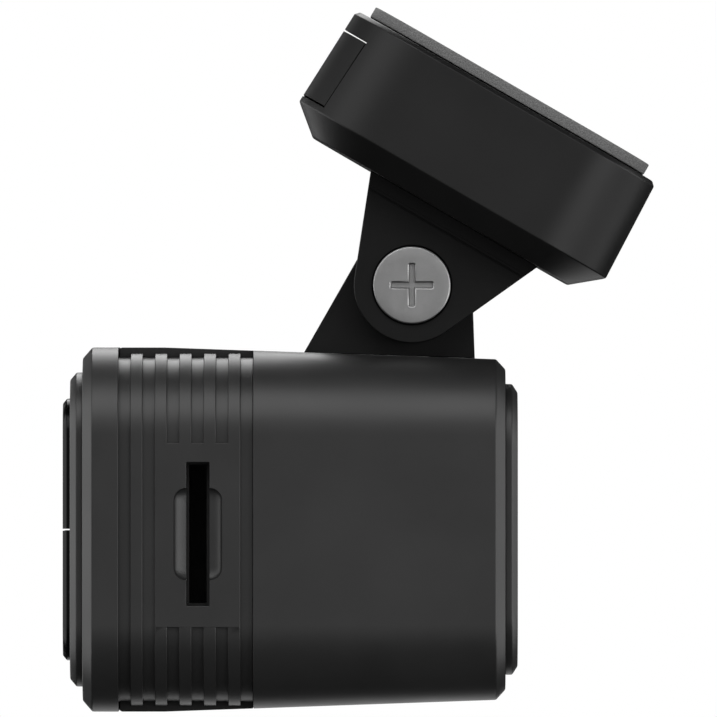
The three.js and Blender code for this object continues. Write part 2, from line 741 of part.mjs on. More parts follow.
function hingeScrew() {
  const { x, z, headR, shankR } = HINGE;
  const body = turnedY([
    [0, -8.05], [headR - 0.2, -8.05], [headR, -7.85], [headR, -6.4], [shankR, -6.4], [shankR, 7.2], [0, 7.2],
  ], [0, 0], 32);
  const [halfLength, halfWidth] = [1.93, 0.35];
  const slotY = [-10, -7.15];
  const cross = join(
    box(square(halfLength), slotY, square(halfWidth)),
    box(square(halfWidth), slotY, square(halfLength)),
  ).rotateY(-MOUNT.tilt);
  return cut(body, cross).translate(x, 0, z);
}

function ring(outerR, innerR, range, sides = ROUND) {
  const spot = [HINGE.x, HINGE.z];
  return cut(rod("y", outerR, range, spot, sides), rod("y", innerR, [-20, 20], spot));
}

function addMount(mount) {
  const pad = mountSquare(MOUNT.padHalf, [-MOUNT.padThickness, 0]);
  const washerY = [HINGE.lugHalfY + 0.1, HINGE.earInnerY - 0.1];
  const washer = () => ring(4.5, HINGE.shankR + 0.12, washerY);
  mount.add(
    piece("adhesive_pad", pad, FINISH.foam),
    piece("windshield_plate", windshieldPlate(), FINISH.hinge),
    piece("mount_housing", mountHousing(), FINISH.mount),
    piece("release_button", releaseButton(), FINISH.mount),
    piece("hinge_fork", hingeFork(), FINISH.hinge),
    piece("hinge_screw", hingeScrew(), FINISH.screw),
    piece("hinge_nut", ring(3.1, HINGE.shankR + 0.08, [5.5, 7.4], 6), FINISH.steel),
    piece("far_friction_washer", washer(), FINISH.zinc),
    piece("near_friction_washer", washer().translate(0, -washerY[0] - washerY[1], 0), FINISH.zinc),
  );
  const screw = { headR: 1.7, headHeight: 1, shankR: 0.9, shankLength: 4.1 };
  const springRoom = RELEASE.seatX - RELEASE.innerX;
  for (const [name, side] of [["near", -1], ["far", 1]]) {
    const forkScrew = piece(`${name}_fork_screw`, smallScrew(screw), FINISH.steel);
    forkScrew.position.set(FORK_SCREW.x, FORK_SCREW.y * side, MOUNT.floorZ + GAP);
    const coil = spring({ radius: 1.6, wireR: 0.25, turns: 4, length: springRoom - 0.9 });
    const releaseSpring = piece(`${name}_release_spring`, coil, FINISH.steel);
    releaseSpring.position.set(RELEASE.innerX + 0.5, RELEASE.springY * side, RELEASE.springZ);
    mount.add(forkScrew, releaseSpring);
  }
}

// ---------------------------------------------------------------- assembly

const dashCamera = new THREE.Group();

const mount = new THREE.Group();
mount.rotation.y = MOUNT.tilt;
addMount(mount);

const camera = new THREE.Group();
camera.position.z = BODY.axisZ;
addCase(camera);
addOptics(camera);
addElectronics(camera);
addBracket(camera);

dashCamera.add(mount, camera);

export default dashCamera;
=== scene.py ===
"""A dash camera hung by a tilting hinge below a quick-release windshield mount.

Every piece is modelled in millimetres in one of two places, with the camera's lens axis as x or with the
mount's own upright as z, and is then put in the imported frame, in metres.
"""

import json
import math

import bmesh
import bpy
from mathutils import Matrix, Vector

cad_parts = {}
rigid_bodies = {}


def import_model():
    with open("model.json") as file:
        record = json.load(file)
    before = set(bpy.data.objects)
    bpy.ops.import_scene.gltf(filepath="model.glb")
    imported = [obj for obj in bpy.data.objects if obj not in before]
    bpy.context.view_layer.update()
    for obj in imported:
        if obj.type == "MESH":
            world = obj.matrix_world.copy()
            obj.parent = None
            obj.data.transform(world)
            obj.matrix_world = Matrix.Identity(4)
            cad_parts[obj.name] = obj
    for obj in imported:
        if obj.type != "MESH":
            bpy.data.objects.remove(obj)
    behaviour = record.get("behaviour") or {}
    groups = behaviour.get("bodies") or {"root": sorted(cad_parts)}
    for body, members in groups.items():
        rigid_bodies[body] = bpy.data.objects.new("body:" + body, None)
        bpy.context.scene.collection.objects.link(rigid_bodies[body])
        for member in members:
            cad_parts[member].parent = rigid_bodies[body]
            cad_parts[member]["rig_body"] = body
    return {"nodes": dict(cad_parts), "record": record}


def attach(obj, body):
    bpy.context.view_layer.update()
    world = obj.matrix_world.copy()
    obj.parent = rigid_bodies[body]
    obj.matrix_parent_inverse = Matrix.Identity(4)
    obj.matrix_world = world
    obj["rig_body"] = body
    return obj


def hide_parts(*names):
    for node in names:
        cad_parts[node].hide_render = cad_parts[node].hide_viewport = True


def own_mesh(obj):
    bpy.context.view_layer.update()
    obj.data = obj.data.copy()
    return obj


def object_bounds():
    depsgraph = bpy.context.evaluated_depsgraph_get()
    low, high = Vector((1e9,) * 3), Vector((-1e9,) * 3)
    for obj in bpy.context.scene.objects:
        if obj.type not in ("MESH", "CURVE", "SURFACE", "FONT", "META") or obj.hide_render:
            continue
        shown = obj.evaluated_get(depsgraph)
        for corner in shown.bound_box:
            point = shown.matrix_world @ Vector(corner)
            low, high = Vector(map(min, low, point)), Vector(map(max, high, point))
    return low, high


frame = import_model()
cad_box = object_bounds()

# ------------------------------------------------------------ places and sizes, in millimetres

MM = 0.001


def extent(node, place):
    """Lowest and highest corner of a CAD node, in millimetres in a place."""
    to_place = place.inverted()
    points = [to_place @ (vertex.co / MM) for vertex in frame["nodes"][node].data.vertices]
    low = Vector(min(p[axis] for p in points) for axis in range(3))
    high = Vector(max(p[axis] for p in points) for axis in range(3))
    return low, high


WORLD = Matrix.Identity(4)
pad_axis = frame["record"]["mounts"][0]["axis"]
MOUNT = Matrix.Rotation(math.atan2(pad_axis[0], pad_axis[2]), 4, "Y")
axis_z = sum(corner.z for corner in extent("rear_shell", WORLD)) / 2
CAMERA = Matrix.Translation((0, 0, axis_z))

GAP = 0.05  # between pieces that rest on each other
CORNER_STEPS = 14  # facets in a quarter turn of a rounded corner
ROUND_STEPS = 20  # facets in a quarter turn of a round piece
SOFT_STEPS = 3  # facets across a softened edge
SHARP_ANGLE = 40  # in degrees, from which an edge is drawn sharp
EDGE = 0.12  # how far from its corner an outer edge starts to be soft
PLATE_EDGE = 0.13  # the same, on the plates of the hinge

# Case of the camera
rear_low, rear_high = extent("rear_shell", CAMERA)
front_low, front_high = extent("front_shell", CAMERA)
BODY_REAR = rear_low.x
BODY_FRONT = front_high.x
BODY_HALF = rear_high.z
BODY_CORNER = 7.57
BODY_STRAIGHT = BODY_HALF - BODY_CORNER
SEAM = front_low.x - GAP
TAPER_START = -29.9
TAPER = (BODY_HALF - front_high.z) / (front_low.x - TAPER_START)
REAR_CHAMFER = (0.83, 0.95)  # along x, and inwards
FRONT_CHAMFER = (0.81, 0.86)
SEAM_EDGE = 0.06
CAVITY_HALF = 13.2
REAR_WALL = -35.55
FRONT_WALL = -2.2
LENS_HOLE = 9.35

# Case screws, in posts near the corners
POST_AT = 10.3
POST_RADIUS = 2.2
SCREW_HOLE, SCREW_HEAD_HOLE = 0.95, 1.6
THREAD_HOLE, THREAD_END = 0.9, -16.5

# Vent band
BAND_REAR = -33.87
RIB_PITCH = 1.049
RIBS = 5
RIB_LEVEL = BODY_HALF - 0.52
GROOVE_LEVEL = BODY_HALF - 0.87
RIB_EDGE = 0.07
rib_starts = [BAND_REAR + RIB_PITCH * (2 * i + 1) for i in range(RIBS)]
GRILLE_HALF = extent("top_vent_grille", CAMERA)[1].y
GRILLE_BOTTOM = extent("top_vent_grille", CAMERA)[0].z

# Card slot and USB inlet, as (x, z) of the middle and (width, height)
PANEL_Z = (-8.35, 7.47)
SLOT_AT, SLOT_SIZE = (-27.02, -0.34), (2.0, 12.33)
SLOT_CORNER = 0.08
SCOOP_SIZE, SCOOP_CORNER, SCOOP_DEPTH = (4.16, 7.91), 1.05, 0.8
USB_AT, USB_SIZE = (-27.6, 0.0), (3.6, 9.3)
USB_CORNER = 1.75
SLOT_END = 12.4  # how close to the middle plane both go

# Steps at the back and at the front
REAR_BEZEL_REAR = extent("rear_bezel", CAMERA)[0].x
REAR_BEZEL_HALF = extent("rear_bezel", CAMERA)[1].z
REAR_BEZEL_CORNER = 5.3
REAR_OPENING_HALF, REAR_OPENING_CORNER = 11.4, 3.35
BUTTON_REAR, BUTTON_FRONT = extent("upper_button", CAMERA)[0].x, -37.35
BUTTON_HALF, BUTTON_CORNER = extent("upper_button", CAMERA)[1].z, 3.2
BUTTON_SLIT = 2 * extent("upper_button", CAMERA)[0].z
BUTTON_DRAFT = 0.11  # how much wider the slit is on the far side
STEM_Z = 5.6
STEM_RADIUS, STEM_HOLE = 1.55, 1.75
STEM_END = -35.0
FRONT_BEZEL_FRONT = extent("front_bezel", CAMERA)[1].x
FRONT_BEZEL_HALF = extent("front_bezel", CAMERA)[1].z
FRONT_BEZEL_CORNER = 5.3
FRONT_BEZEL_HOLE = 8.1
glass_low, glass_high = extent("cover_glass", CAMERA)

# Mount, in its own tilted place
pad_low, pad_high = extent("adhesive_pad", MOUNT)
housing_low, housing_high = extent("mount_housing", MOUNT)
MOUNT_STRAIGHT = 7.81
MOUNT_TOP, MOUNT_TOP_HALF = housing_high.z, 14.86
MOUNT_WIDE, MOUNT_WIDE_HALF = -10.31, housing_high.y
MOUNT_BOTTOM, MOUNT_BOTTOM_HALF = housing_low.z, 12.72
MOUNT_CAVITY = 13.0
MOUNT_FLOOR = -10.9
MOUNT_EDGE = 0.35
PLATE_HALF = extent("windshield_plate", MOUNT)[1].y
PLATE_BOTTOM, PLATE_TOP = (corner.z for corner in extent("windshield_plate", MOUNT))

# Release button and its springs
RELEASE_TOP, RELEASE_BOTTOM = -3.18, -9.62
RELEASE_HALF = extent("release_button", MOUNT)[1].y
RELEASE_SLIT = 0.15
RELEASE_SIDE_SLIT = 0.08
RELEASE_STEP = 1.2  # how much narrower the button is behind its face, which keeps its side slits dark
RELEASE_INNER = -12.4
RELEASE_DRAFT = 0.22  # how much wider its top gap is on the far side
SPRING_AT = (8, -6.4)
RELEASE_TRAVEL = frame["record"]["behaviour"]["joints"][1]["range_m"][1] / MM
SPRING_LOW, SPRING_HIGH = extent("near_release_spring", MOUNT)
SPRING_WIRE = 0.25
PEG_RADIUS = 1.0
LATCH_HALF = 2.6
LATCH_REAR, LATCH_FRONT = -8.4, -7.2

# Hinge
EAR_RADIUS = 4.99
EAR_INNER, EAR_OUTER = 4.6, 7.6
EAR_REAR, EAR_FRONT = -6.93, 9.66
FLANGE_TOP, FLANGE_BOTTOM = -12.68, -13.45  # the ears' sides run to the ends of the top
FLANGE_HALF = extent("hinge_fork", MOUNT)[1].y
FLANGE_GAP = 0.01  # below the housing
FORK_GROOVE, FORK_GROOVE_DEPTH = (-13.9, -13.7), 0.35
FORK_SCREWS = [(1.4, -6.1), (1.4, 6.1)]
HEAD_GAP, HEAD_GAP_OUTSIDE = 0.08, 0.14  # round the screw's head, in its counterbore
NUT_RECESS = 3.3
LUG_RADIUS = 5.2
LUG_HALF = extent("hinge_bracket", CAMERA)[1].y
SHANK_RADIUS = 1.5
HEAD_SEAT = -6.4
screw_low, screw_high = extent("hinge_screw", MOUNT)
HEAD_RADIUS = (screw_high.x - screw_low.x) / 2
PIVOT = ((screw_low.x + screw_high.x) / 2, (screw_low.z + screw_high.z) / 2)
pivot_in_camera = CAMERA.inverted() @ MOUNT @ Vector((PIVOT[0], 0, PIVOT[1]))
LUG_PIVOT = (pivot_in_camera.x, pivot_in_camera.z)
FOOT_REAR, FOOT_FRONT = -17.94, -3.23
FOOT_GAP = 0.005  # above the case
BUSH_RADIUS = 2.5
BRACKET_SCREWS = [(-14, 0), (-6.3, 0)]

# ------------------------------------------------------------ solids

AXES = {
    "x": lambda along, u, v: Vector((along, u, v)),
    "y": lambda along, u, v: Vector((u, along, v)),
    "z": lambda along, u, v: Vector((u, v, along)),
}


def rounded_rectangle(half_u, half_v, radius, steps):
    """The points of a rounded rectangle. With both halves equal to the radius it is a circle."""
    points = []
    for quarter, (side_u, side_v) in enumerate([(1, 1), (-1, 1), (-1, -1), (1, -1)]):
        for step in range(steps + 1):
            angle = math.pi / 2 * (quarter + step / steps)
            u = side_u * (half_u - radius) + radius * math.cos(angle)
            v = side_v * (half_v - radius) + radius * math.sin(angle)
            points.append((u, v))
    return points


def skin(rings, loop=False):
    """A closed mesh through rings of points, capped at both ends unless the rings close in a loop."""
    mesh = bmesh.new()
    rows = [[mesh.verts.new(point) for point in ring] for ring in rings]
    pairs = list(zip(rows, rows[1:]))
    if loop:
        pairs.append((rows[-1], rows[0]))
    else:
        mesh.faces.new(rows[0])
        mesh.faces.new(rows[-1])
    for first, second in pairs:
        for i in range(len(first)):
            j = (i + 1) % len(first)
            mesh.faces.new((first[i], first[j], second[j], second[i]))
    bmesh.ops.remove_doubles(mesh, verts=mesh.verts, dist=1e-5)
    bmesh.ops.recalc_face_normals(mesh, faces=mesh.faces)
    return mesh


def loft(sections, axis, at=(0, 0), loop=False, steps=CORNER_STEPS):
    """A solid through rounded rectangles (along, half_u, half_v, radius)."""
    rings = []
    for along, half_u, half_v, radius in sections:
        outline = rounded_rectangle(half_u, half_v, radius, steps)
        rings.append([AXES[axis](along, at[0] + u, at[1] + v) for u, v in outline])
    return skin(rings, loop)


def soften(profile, loop=False):
    """Replaces each corner of a profile by a short arc that starts a length of soft before it.

    A corner is (along, half, straight, soft), and a point of the result is (along, half, straight).
    """
    most = 0.45  # of the side next to the corner
    count = len(profile)
    result = []
    for i, (along, half, straight, soft) in enumerate(profile):
        inner = loop or 0 < i < count - 1
        if not soft or not inner:
            result.append((along, half, straight))
            continue
        corner = Vector((along, half))
        before = Vector(profile[i - 1][:2]) - corner
        after = Vector(profile[(i + 1) % count][:2]) - corner
        start = corner + before.normalized() * min(soft, before.length * most)
        end = corner + after.normalized() * min(soft, after.length * most)
        for step in range(SOFT_STEPS + 1):
            t = step / SOFT_STEPS
            point = start * (1 - t) ** 2 + corner * 2 * t * (1 - t) + end * t**2
            result.append((point.x, point.y, straight))
    return result


def square_solid(profile, axis, loop=False, at=(0, 0), steps=CORNER_STEPS):
    """A solid through rounded squares, from a profile of (along, half, straight part of the half, soft).

    A flat end face starts or ends the profile with a smaller square in it, so that its edge can be soft.
    """
    sections = [(along, half, half, half - straight) for along, half, straight in soften(profile, loop)]
    return loft(sections, axis, at, loop, steps)


def turned(profile, axis, at=(0, 0), loop=False):
    """A solid of revolution, from a profile of (along, radius, soft)."""
    points = [(along, radius, 0, soft) for along, radius, soft in profile]
    return square_solid(points, axis, loop, at, ROUND_STEPS)


def rod(axis, radius, along, at=(0, 0)):
    """A plain cylinder between two places along an axis."""
    return turned([(along[0], radius, 0), (along[1], radius, 0)], axis, at)


def block(x, y, z):
    """A box from its ranges, as a cutter or for a part of a piece."""
    mesh = bmesh.new()
    size = Matrix.Diagonal((x[1] - x[0], y[1] - y[0], z[1] - z[0], 1))
    middle = Matrix.Translation(((x[0] + x[1]) / 2, (y[0] + y[1]) / 2, (z[0] + z[1]) / 2))
    bmesh.ops.create_cube(mesh, size=1, matrix=middle @ size)
    return mesh


def both(half):
    """The range from one side of the middle to the other, or the two sides' values."""
    return (-half, half)


def draft(mesh, z, lift):
    """Moves the corners of a block at the height z up by lift on the far side, which slopes that face."""
    for vertex in mesh.verts:
        if abs(vertex.co.z - z) < 1e-4 and vertex.co.y > 0:
            vertex.co.z += lift
    return mesh


def pocket(size, radius, y, flare, at):
    """A cutter along y, with a rounded outline in x and z that flares out at the face, at y[0]."""
    face, end = y
    outward = math.copysign(1, face - end)
    beyond = face + outward * 2
    sections = [(beyond, size[0] / 2 + flare, size[1] / 2 + flare, radius + flare)]
    for step in range(SOFT_STEPS + 1):
        angle = math.pi / 2 * step / SOFT_STEPS
        spread = flare * (1 - math.sin(angle))
        depth = flare * (1 - math.cos(angle))
        half = (size[0] / 2 + spread, size[1] / 2 + spread)
        sections.append((face - outward * depth, *half, radius + spread))
    sections.append((end, size[0] / 2, size[1] / 2, radius))
    return loft(sections, "y", at, steps=6)


def boss_outline(centre, radius, left, right, inset=0.0):
    """A round boss joined by its tangents to a straight edge from left to right, all moved in by inset."""
    def tangent_angle(point, side):
        reach = Vector(point) - Vector(centre)
        return math.atan2(reach.y, reach.x) + side * math.acos(radius / reach.length)

    above = 1 if left[1] > centre[1] else -1
    angles = [tangent_angle(left, above), tangent_angle(right, -above)]
    edge = Vector(right) - Vector(left)
    inward = Vector((edge.y, -edge.x)).normalized() * above
    points = []
    for point, angle in ((right, angles[1]), (left, angles[0])):
        outward = Vector((math.cos(angle), math.sin(angle)))
        # where the side and the straight edge meet once both have moved in
        across = 1 + outward.dot(inward)
        share = inset / across if across > 1e-6 else 0
        points.append(Vector(point) + (inward - outward) * share)
    turn = (angles[1] - angles[0]) % (2 * math.pi)
    if above < 0:
        turn -= 2 * math.pi
    steps = 3 * ROUND_STEPS
    for step in range(steps + 1):
        angle = angles[0] + turn * step / steps
        arc = Vector((math.cos(angle), math.sin(angle))) * (radius - inset)
        points.append(Vector(centre) + arc)
    return points


def plate(outline, y, soft):
    """A plate between two values of y, from outline(inset), with softened edges."""
    levels = []
    for step in range(SOFT_STEPS + 1):
        angle = math.pi / 2 * step / SOFT_STEPS
        levels.append((soft * (1 - math.sin(angle)), soft * (1 - math.cos(angle))))
    rings = []
    for inset, depth in levels:
        rings.append([Vector((p.x, y[0] + depth, p.y)) for p in outline(inset)])
    for inset, depth in reversed(levels):
        rings.append([Vector((p.x, y[1] - depth, p.y)) for p in outline(inset)])
    return skin(rings)


def as_object(mesh, name="solid"):
    data = bpy.data.meshes.new(name)
    mesh.to_mesh(data)
    mesh.free()
    item = bpy.data.objects.new(name, data)
    bpy.context.scene.collection.objects.link(item)
    return item


def combine(base, operation, *tools):
    """The base mesh joined with, or cut by, the tool meshes."""
    item = as_object(base)
    helpers = [as_object(tool) for tool in tools]
    for helper in helpers:
        modifier = item.modifiers.new("combine", "BOOLEAN")
        modifier.operation = operation
        modifier.solver = "MANIFOLD"
        modifier.object = helper
    bpy.context.view_layer.update()
    data = bpy.data.meshes.new_from_object(item.evaluated_get(bpy.context.evaluated_depsgraph_get()))
    result = bmesh.new()
    result.from_mesh(data)
    for used in [item, *helpers]:
        bpy.data.objects.remove(used)
    return result


def join(base, *tools):
    return combine(base, "UNION", *tools)


def cut(base, *tools):
    return combine(base, "DIFFERENCE", *tools)


def common(base, tool):
    return combine(base, "INTERSECT", tool)


# ------------------------------------------------------------ materials

MATERIALS = {}


class Surface:
    """A node material being built, with its Principled shader and short ways to add nodes."""

    def __init__(self, name, roughness, metallic=0.0):
        self.material = bpy.data.materials.new(name)
        self.material.use_nodes = True
        self.nodes = self.material.node_tree.nodes
        self.links = self.material.node_tree.links
        self.shader = self.nodes["Principled BSDF"]
        self.shader.inputs["Roughness"].default_value = roughness
        self.shader.inputs["Metallic"].default_value = metallic
        self.coordinates = self.add("ShaderNodeTexCoord").outputs["Object"]

    def add(self, kind, **settings):
        """A new node of a kind, with its settings."""
        node = self.nodes.new(kind)
        for setting, value in settings.items():
            setattr(node, setting, value)
        return node

    def stretched(self, scale):
        """The object's coordinates, scaled differently along each axis."""
        mapping = self.add("ShaderNodeMapping")
        mapping.inputs["Scale"].default_value = scale
        self.links.new(self.coordinates, mapping.inputs["Vector"])
        return mapping.outputs["Vector"]

    def noise(self, size, detail=3.0, coordinates=None):
        """A noise from 0 to 1 whose features are about size metres across."""
        node = self.add("ShaderNodeTexNoise")
        node.inputs["Scale"].default_value = 1 / size
        node.inputs["Detail"].default_value = detail
        self.links.new(coordinates or self.coordinates, node.inputs["Vector"])
        return node.outputs["Fac"]

    def cells(self, size):
        """The distance to the nearest of scattered points that are about size metres apart."""
        node = self.add("ShaderNodeTexVoronoi")
        node.inputs["Scale"].default_value = 1 / size
        self.links.new(self.coordinates, node.inputs["Vector"])
        return node.outputs["Distance"]

    def ranged(self, value, low, high, start=0.3, end=0.7):
        """A number that goes from low to high as value goes from start to end."""
        node = self.add("ShaderNodeMapRange")
        node.inputs["From Min"].default_value = start
        node.inputs["From Max"].default_value = end
        node.inputs["To Min"].default_value = low
        node.inputs["To Max"].default_value = high
        self.links.new(value, node.inputs["Value"])
        return node.outputs["Result"]

    def blend(self, value, first, second, start=0.3, end=0.7):
        """A colour that goes from the first to the second as value goes from start to end."""
        node = self.add("ShaderNodeValToRGB")
        node.color_ramp.elements[0].position = start
        node.color_ramp.elements[0].color = (*first, 1)
        node.color_ramp.elements[1].position = end
        node.color_ramp.elements[1].color = (*second, 1)
        self.links.new(value, node.inputs["Fac"])
        return node.outputs["Color"]

    def colour(self, output):
        self.links.new(output, self.shader.inputs["Base Color"])

    def roughness(self, output):
        self.links.new(output, self.shader.inputs["Roughness"])

    def bump(self, *heights):
        """Bumps one after another, each a (value, depth in metres) pair."""
        normal = None
        for value, depth in heights:
            node = self.add("ShaderNodeBump")
            node.inputs["Strength"].default_value = 1
            node.inputs["Distance"].default_value = depth
            self.links.new(value, node.inputs["Height"])
            if normal is not None:
                self.links.new(normal, node.inputs["Normal"])
            normal = node.outputs["Normal"]
        self.links.new(normal, self.shader.inputs["Normal"])

    def done(self, slot):
        MATERIALS[slot] = self.material


def grey(value, warmth=0.0):
    """A grey, with a little more red and less blue for warmth."""
    return (value * (1 + warmth), value, value * (1 - warmth))


def moulded_plastic(slot, dark, light, roughness, specular=0.25, grain=0.00022, depth=0.0000022):
    """Black moulded plastic: fine spark-eroded grain, faint clouding and hairline marks from handling."""
    surface = Surface(slot, roughness)
    surface.shader.inputs["Specular IOR Level"].default_value = specular
    clouds = surface.noise(0.006, 4)
    grain_noise = surface.noise(grain, 2)
    hairlines = surface.noise(0.0008, 2, surface.stretched((1, 1, 0.04)))
    spread = 0.03
    surface.colour(surface.blend(clouds, grey(dark), grey(light)))
    surface.roughness(surface.ranged(clouds, roughness - spread, roughness + spread))
    surface.bump((grain_noise, depth), (hairlines, depth * 0.3))
    surface.done(slot)


def foam():
    """Closed-cell foam tape: fine pale cells in a grey skin."""
    surface = Surface("foam_adhesive", 0.95)
    cells = surface.cells(0.00016)
    speckle = surface.noise(0.00012, 3)
    surface.colour(surface.blend(speckle, grey(0.05), grey(0.1)))
    surface.bump((cells, 0.00003), (speckle, 0.00002))
    surface.done("foam_adhesive")


def satin_metal(slot, dark, light, roughness, lay=(1, 1, 1), size=0.00015, depth=0.000002):
    """Metal with a fine finish: lay stretches its grain along an axis."""
    surface = Surface(slot, roughness, 1)
    grain = surface.noise(size, 3, surface.stretched(lay))
    tarnish = surface.noise(0.0015, 3)
    spread = 0.06
    surface.colour(surface.blend(tarnish, dark, light))
    surface.roughness(surface.ranged(grain, roughness - spread, roughness + spread))
    surface.bump((grain, depth))
    surface.done(slot)


def cover_glass():
    """Clear glass with a coating that cuts its reflections, and with faint smears."""
    surface = Surface("cover_glass", 0.03)
    surface.shader.inputs["Base Color"].default_value = (0.9, 0.92, 0.93, 1)
    surface.shader.inputs["Transmission Weight"].default_value = 1
    surface.shader.inputs["IOR"].default_value = 1.25
    smears = surface.noise(0.003, 4)
    surface.roughness(surface.ranged(smears, 0.01, 0.035))
    surface.bump((smears, 0.0000006))
    surface.done("cover_glass")


def lens_glass():
    """Deep blue coated glass."""
    surface = Surface("lens_glass", 0.02)
    surface.shader.inputs["Transmission Weight"].default_value = 0.4
    surface.shader.inputs["IOR"].default_value = 1.4
    surface.shader.inputs["Coat Weight"].default_value = 0.25
    surface.shader.inputs["Coat Roughness"].default_value = 0.02
    surface.shader.inputs["Coat Tint"].default_value = (0.35, 0.5, 1, 1)
    dust = surface.noise(0.0012, 4)
    surface.colour(surface.blend(dust, (0.002, 0.004, 0.016), (0.004, 0.007, 0.024)))
    surface.roughness(surface.ranged(dust, 0.01, 0.04))
    surface.bump((dust, 0.0000005))
    surface.done("lens_glass")


def circuit_board():
    """Green solder mask over copper tracks, which stand up a little."""
    surface = Surface("circuit_board", 0.4)
    track_size = 0.0012
    tracks = surface.add("ShaderNodeTexVoronoi", distance="MANHATTAN", feature="F1")
    tracks.inputs["Scale"].default_value = 1 / track_size
    surface.links.new(surface.coordinates, tracks.inputs["Vector"])
    height = surface.ranged(tracks.outputs["Distance"], 0, 1, 0.42, 0.5)
    surface.colour(surface.blend(height, (0.006, 0.06, 0.022), (0.012, 0.12, 0.045), 0.2, 0.8))
    surface.roughness(surface.ranged(surface.noise(0.0006), 0.32, 0.48))
    surface.bump((height, 0.00003))
    surface.done("circuit_board")


def chip_plastic():
    """Black filled epoxy with a fine matt grain."""
    surface = Surface("chip_plastic", 0.5)
    surface.shader.inputs["Specular IOR Level"].default_value = 0.15
    grain = surface.noise(0.00008, 3)
    surface.colour(surface.blend(surface.noise(0.0015), grey(0.004), grey(0.007)))
    surface.roughness(surface.ranged(grain, 0.42, 0.6))
    surface.bump((grain, 0.000004))
    surface.done("chip_plastic")


def soft_rubber(slot, first, second):
    """Matt rubber with a little mottling between two colours."""
    surface = Surface(slot, 0.85)
    grain = surface.noise(0.0002, 4)
    surface.colour(surface.blend(surface.noise(0.0012), first, second))
    surface.roughness(surface.ranged(grain, 0.75, 0.95))
    surface.bump((grain, 0.00001))
    surface.done(slot)


def make_materials():
    """Makes a material for each slot of the record, and one more for the two rear buttons."""
    moulded_plastic("shell_plastic", 0.008, 0.01, 0.42, 0.27)
    moulded_plastic("trim_plastic", 0.009, 0.011, 0.42, 0.28)
    moulded_plastic("mount_plastic", 0.003, 0.004, 0.42, 0.17)
    moulded_plastic("hinge_plastic", 0.002, 0.003, 0.5, 0.1, grain=0.0003)
    moulded_plastic("grille_plastic", 0.003, 0.004, 0.5, 0.2)
    moulded_plastic("button_plastic", 0.001, 0.0015, 0.22, 0.06)
    moulded_plastic("plate_plastic", 0.016, 0.022, 0.5)
    moulded_plastic("barrel_plastic", 0.003, 0.005, 0.6, 0.1, grain=0.00015)
    moulded_plastic("white_nylon", 0.55, 0.62, 0.45)
    foam()
    satin_metal("satin_screw", grey(0.185), grey(0.215), 0.42)
    satin_metal("steel", grey(0.5), grey(0.6), 0.3, (1, 0.1, 1))
    satin_metal("zinc_washer", grey(0.38), grey(0.5, -0.04), 0.42)
    satin_metal("brass", (0.62, 0.42, 0.14), (0.75, 0.53, 0.2), 0.28, (1, 0.1, 1))
    satin_metal("aluminium", grey(0.62), grey(0.72), 0.36, (0.1, 1, 1))
    satin_metal("copper_flex", (0.5, 0.2, 0.06), (0.62, 0.27, 0.1), 0.35)
    cover_glass()
    lens_glass()
    circuit_board()
    chip_plastic()
    soft_rubber("thermal_rubber", (0.3, 0.38, 0.46), (0.36, 0.45, 0.54))
    soft_rubber("capacitor_sleeve", (0.01, 0.018, 0.08), (0.014, 0.024, 0.11))


# ------------------------------------------------------------ pieces

slot_of = {part["node"]: part["material_slot"] for part in frame["record"]["subparts"]}


def add_piece(node, mesh, place, look=None):
    """Makes a finished piece from a mesh in a place. It stands for the CAD node and rides on its body."""
    mesh.transform(Matrix.Diagonal((MM, MM, MM, 1)) @ place)
    piece = as_object(mesh, node + "_fine")
    for polygon in piece.data.polygons:
        polygon.use_smooth = True
    piece.data.set_sharp_from_angle(angle=math.radians(SHARP_ANGLE))
    piece.data.materials.append(MATERIALS[look or slot_of[node]])
    normals = piece.modifiers.new("weighted normals", "WEIGHTED_NORMAL")
    normals.keep_sharp = True
    normals.weight = 100
    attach(piece, frame["nodes"][node]["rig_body"])
    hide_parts(node)
    return piece


def body_half(x):
    """Half the height of the case at x: it tapers towards the front."""
    return BODY_HALF - max(0, x - TAPER_START) * TAPER


def post_spots():
    """Where the four posts for the case's screws stand, as (y, z)."""
    return [(y, z) for y in both(POST_AT) for z in both(POST_AT)]


def side_panel(side):
    """The smooth panel round the card slot: it fills the grooves up to the level of the ribs."""
    inset = 0.08
    x0, x1 = rib_starts[1] + inset, rib_starts[4] + RIB_PITCH - inset
    z0, z1 = PANEL_Z
    soft = RIB_EDGE
    sections = [(side * (CAVITY_HALF + 0.2), 0), (side * (RIB_LEVEL - soft), 0)]
    for step in range(1, SOFT_STEPS + 1):
        angle = math.pi / 2 * step / SOFT_STEPS
        sections.append((side * (RIB_LEVEL - soft * (1 - math.sin(angle))), soft * (1 - math.cos(angle))))
    half = ((x1 - x0) / 2, (z1 - z0) / 2)
    outline = [(y, half[0] - narrower, half[1] - narrower, 0.02) for y, narrower in sections]
    return loft(outline, "y", ((x0 + x1) / 2, (z0 + z1) / 2), steps=2)


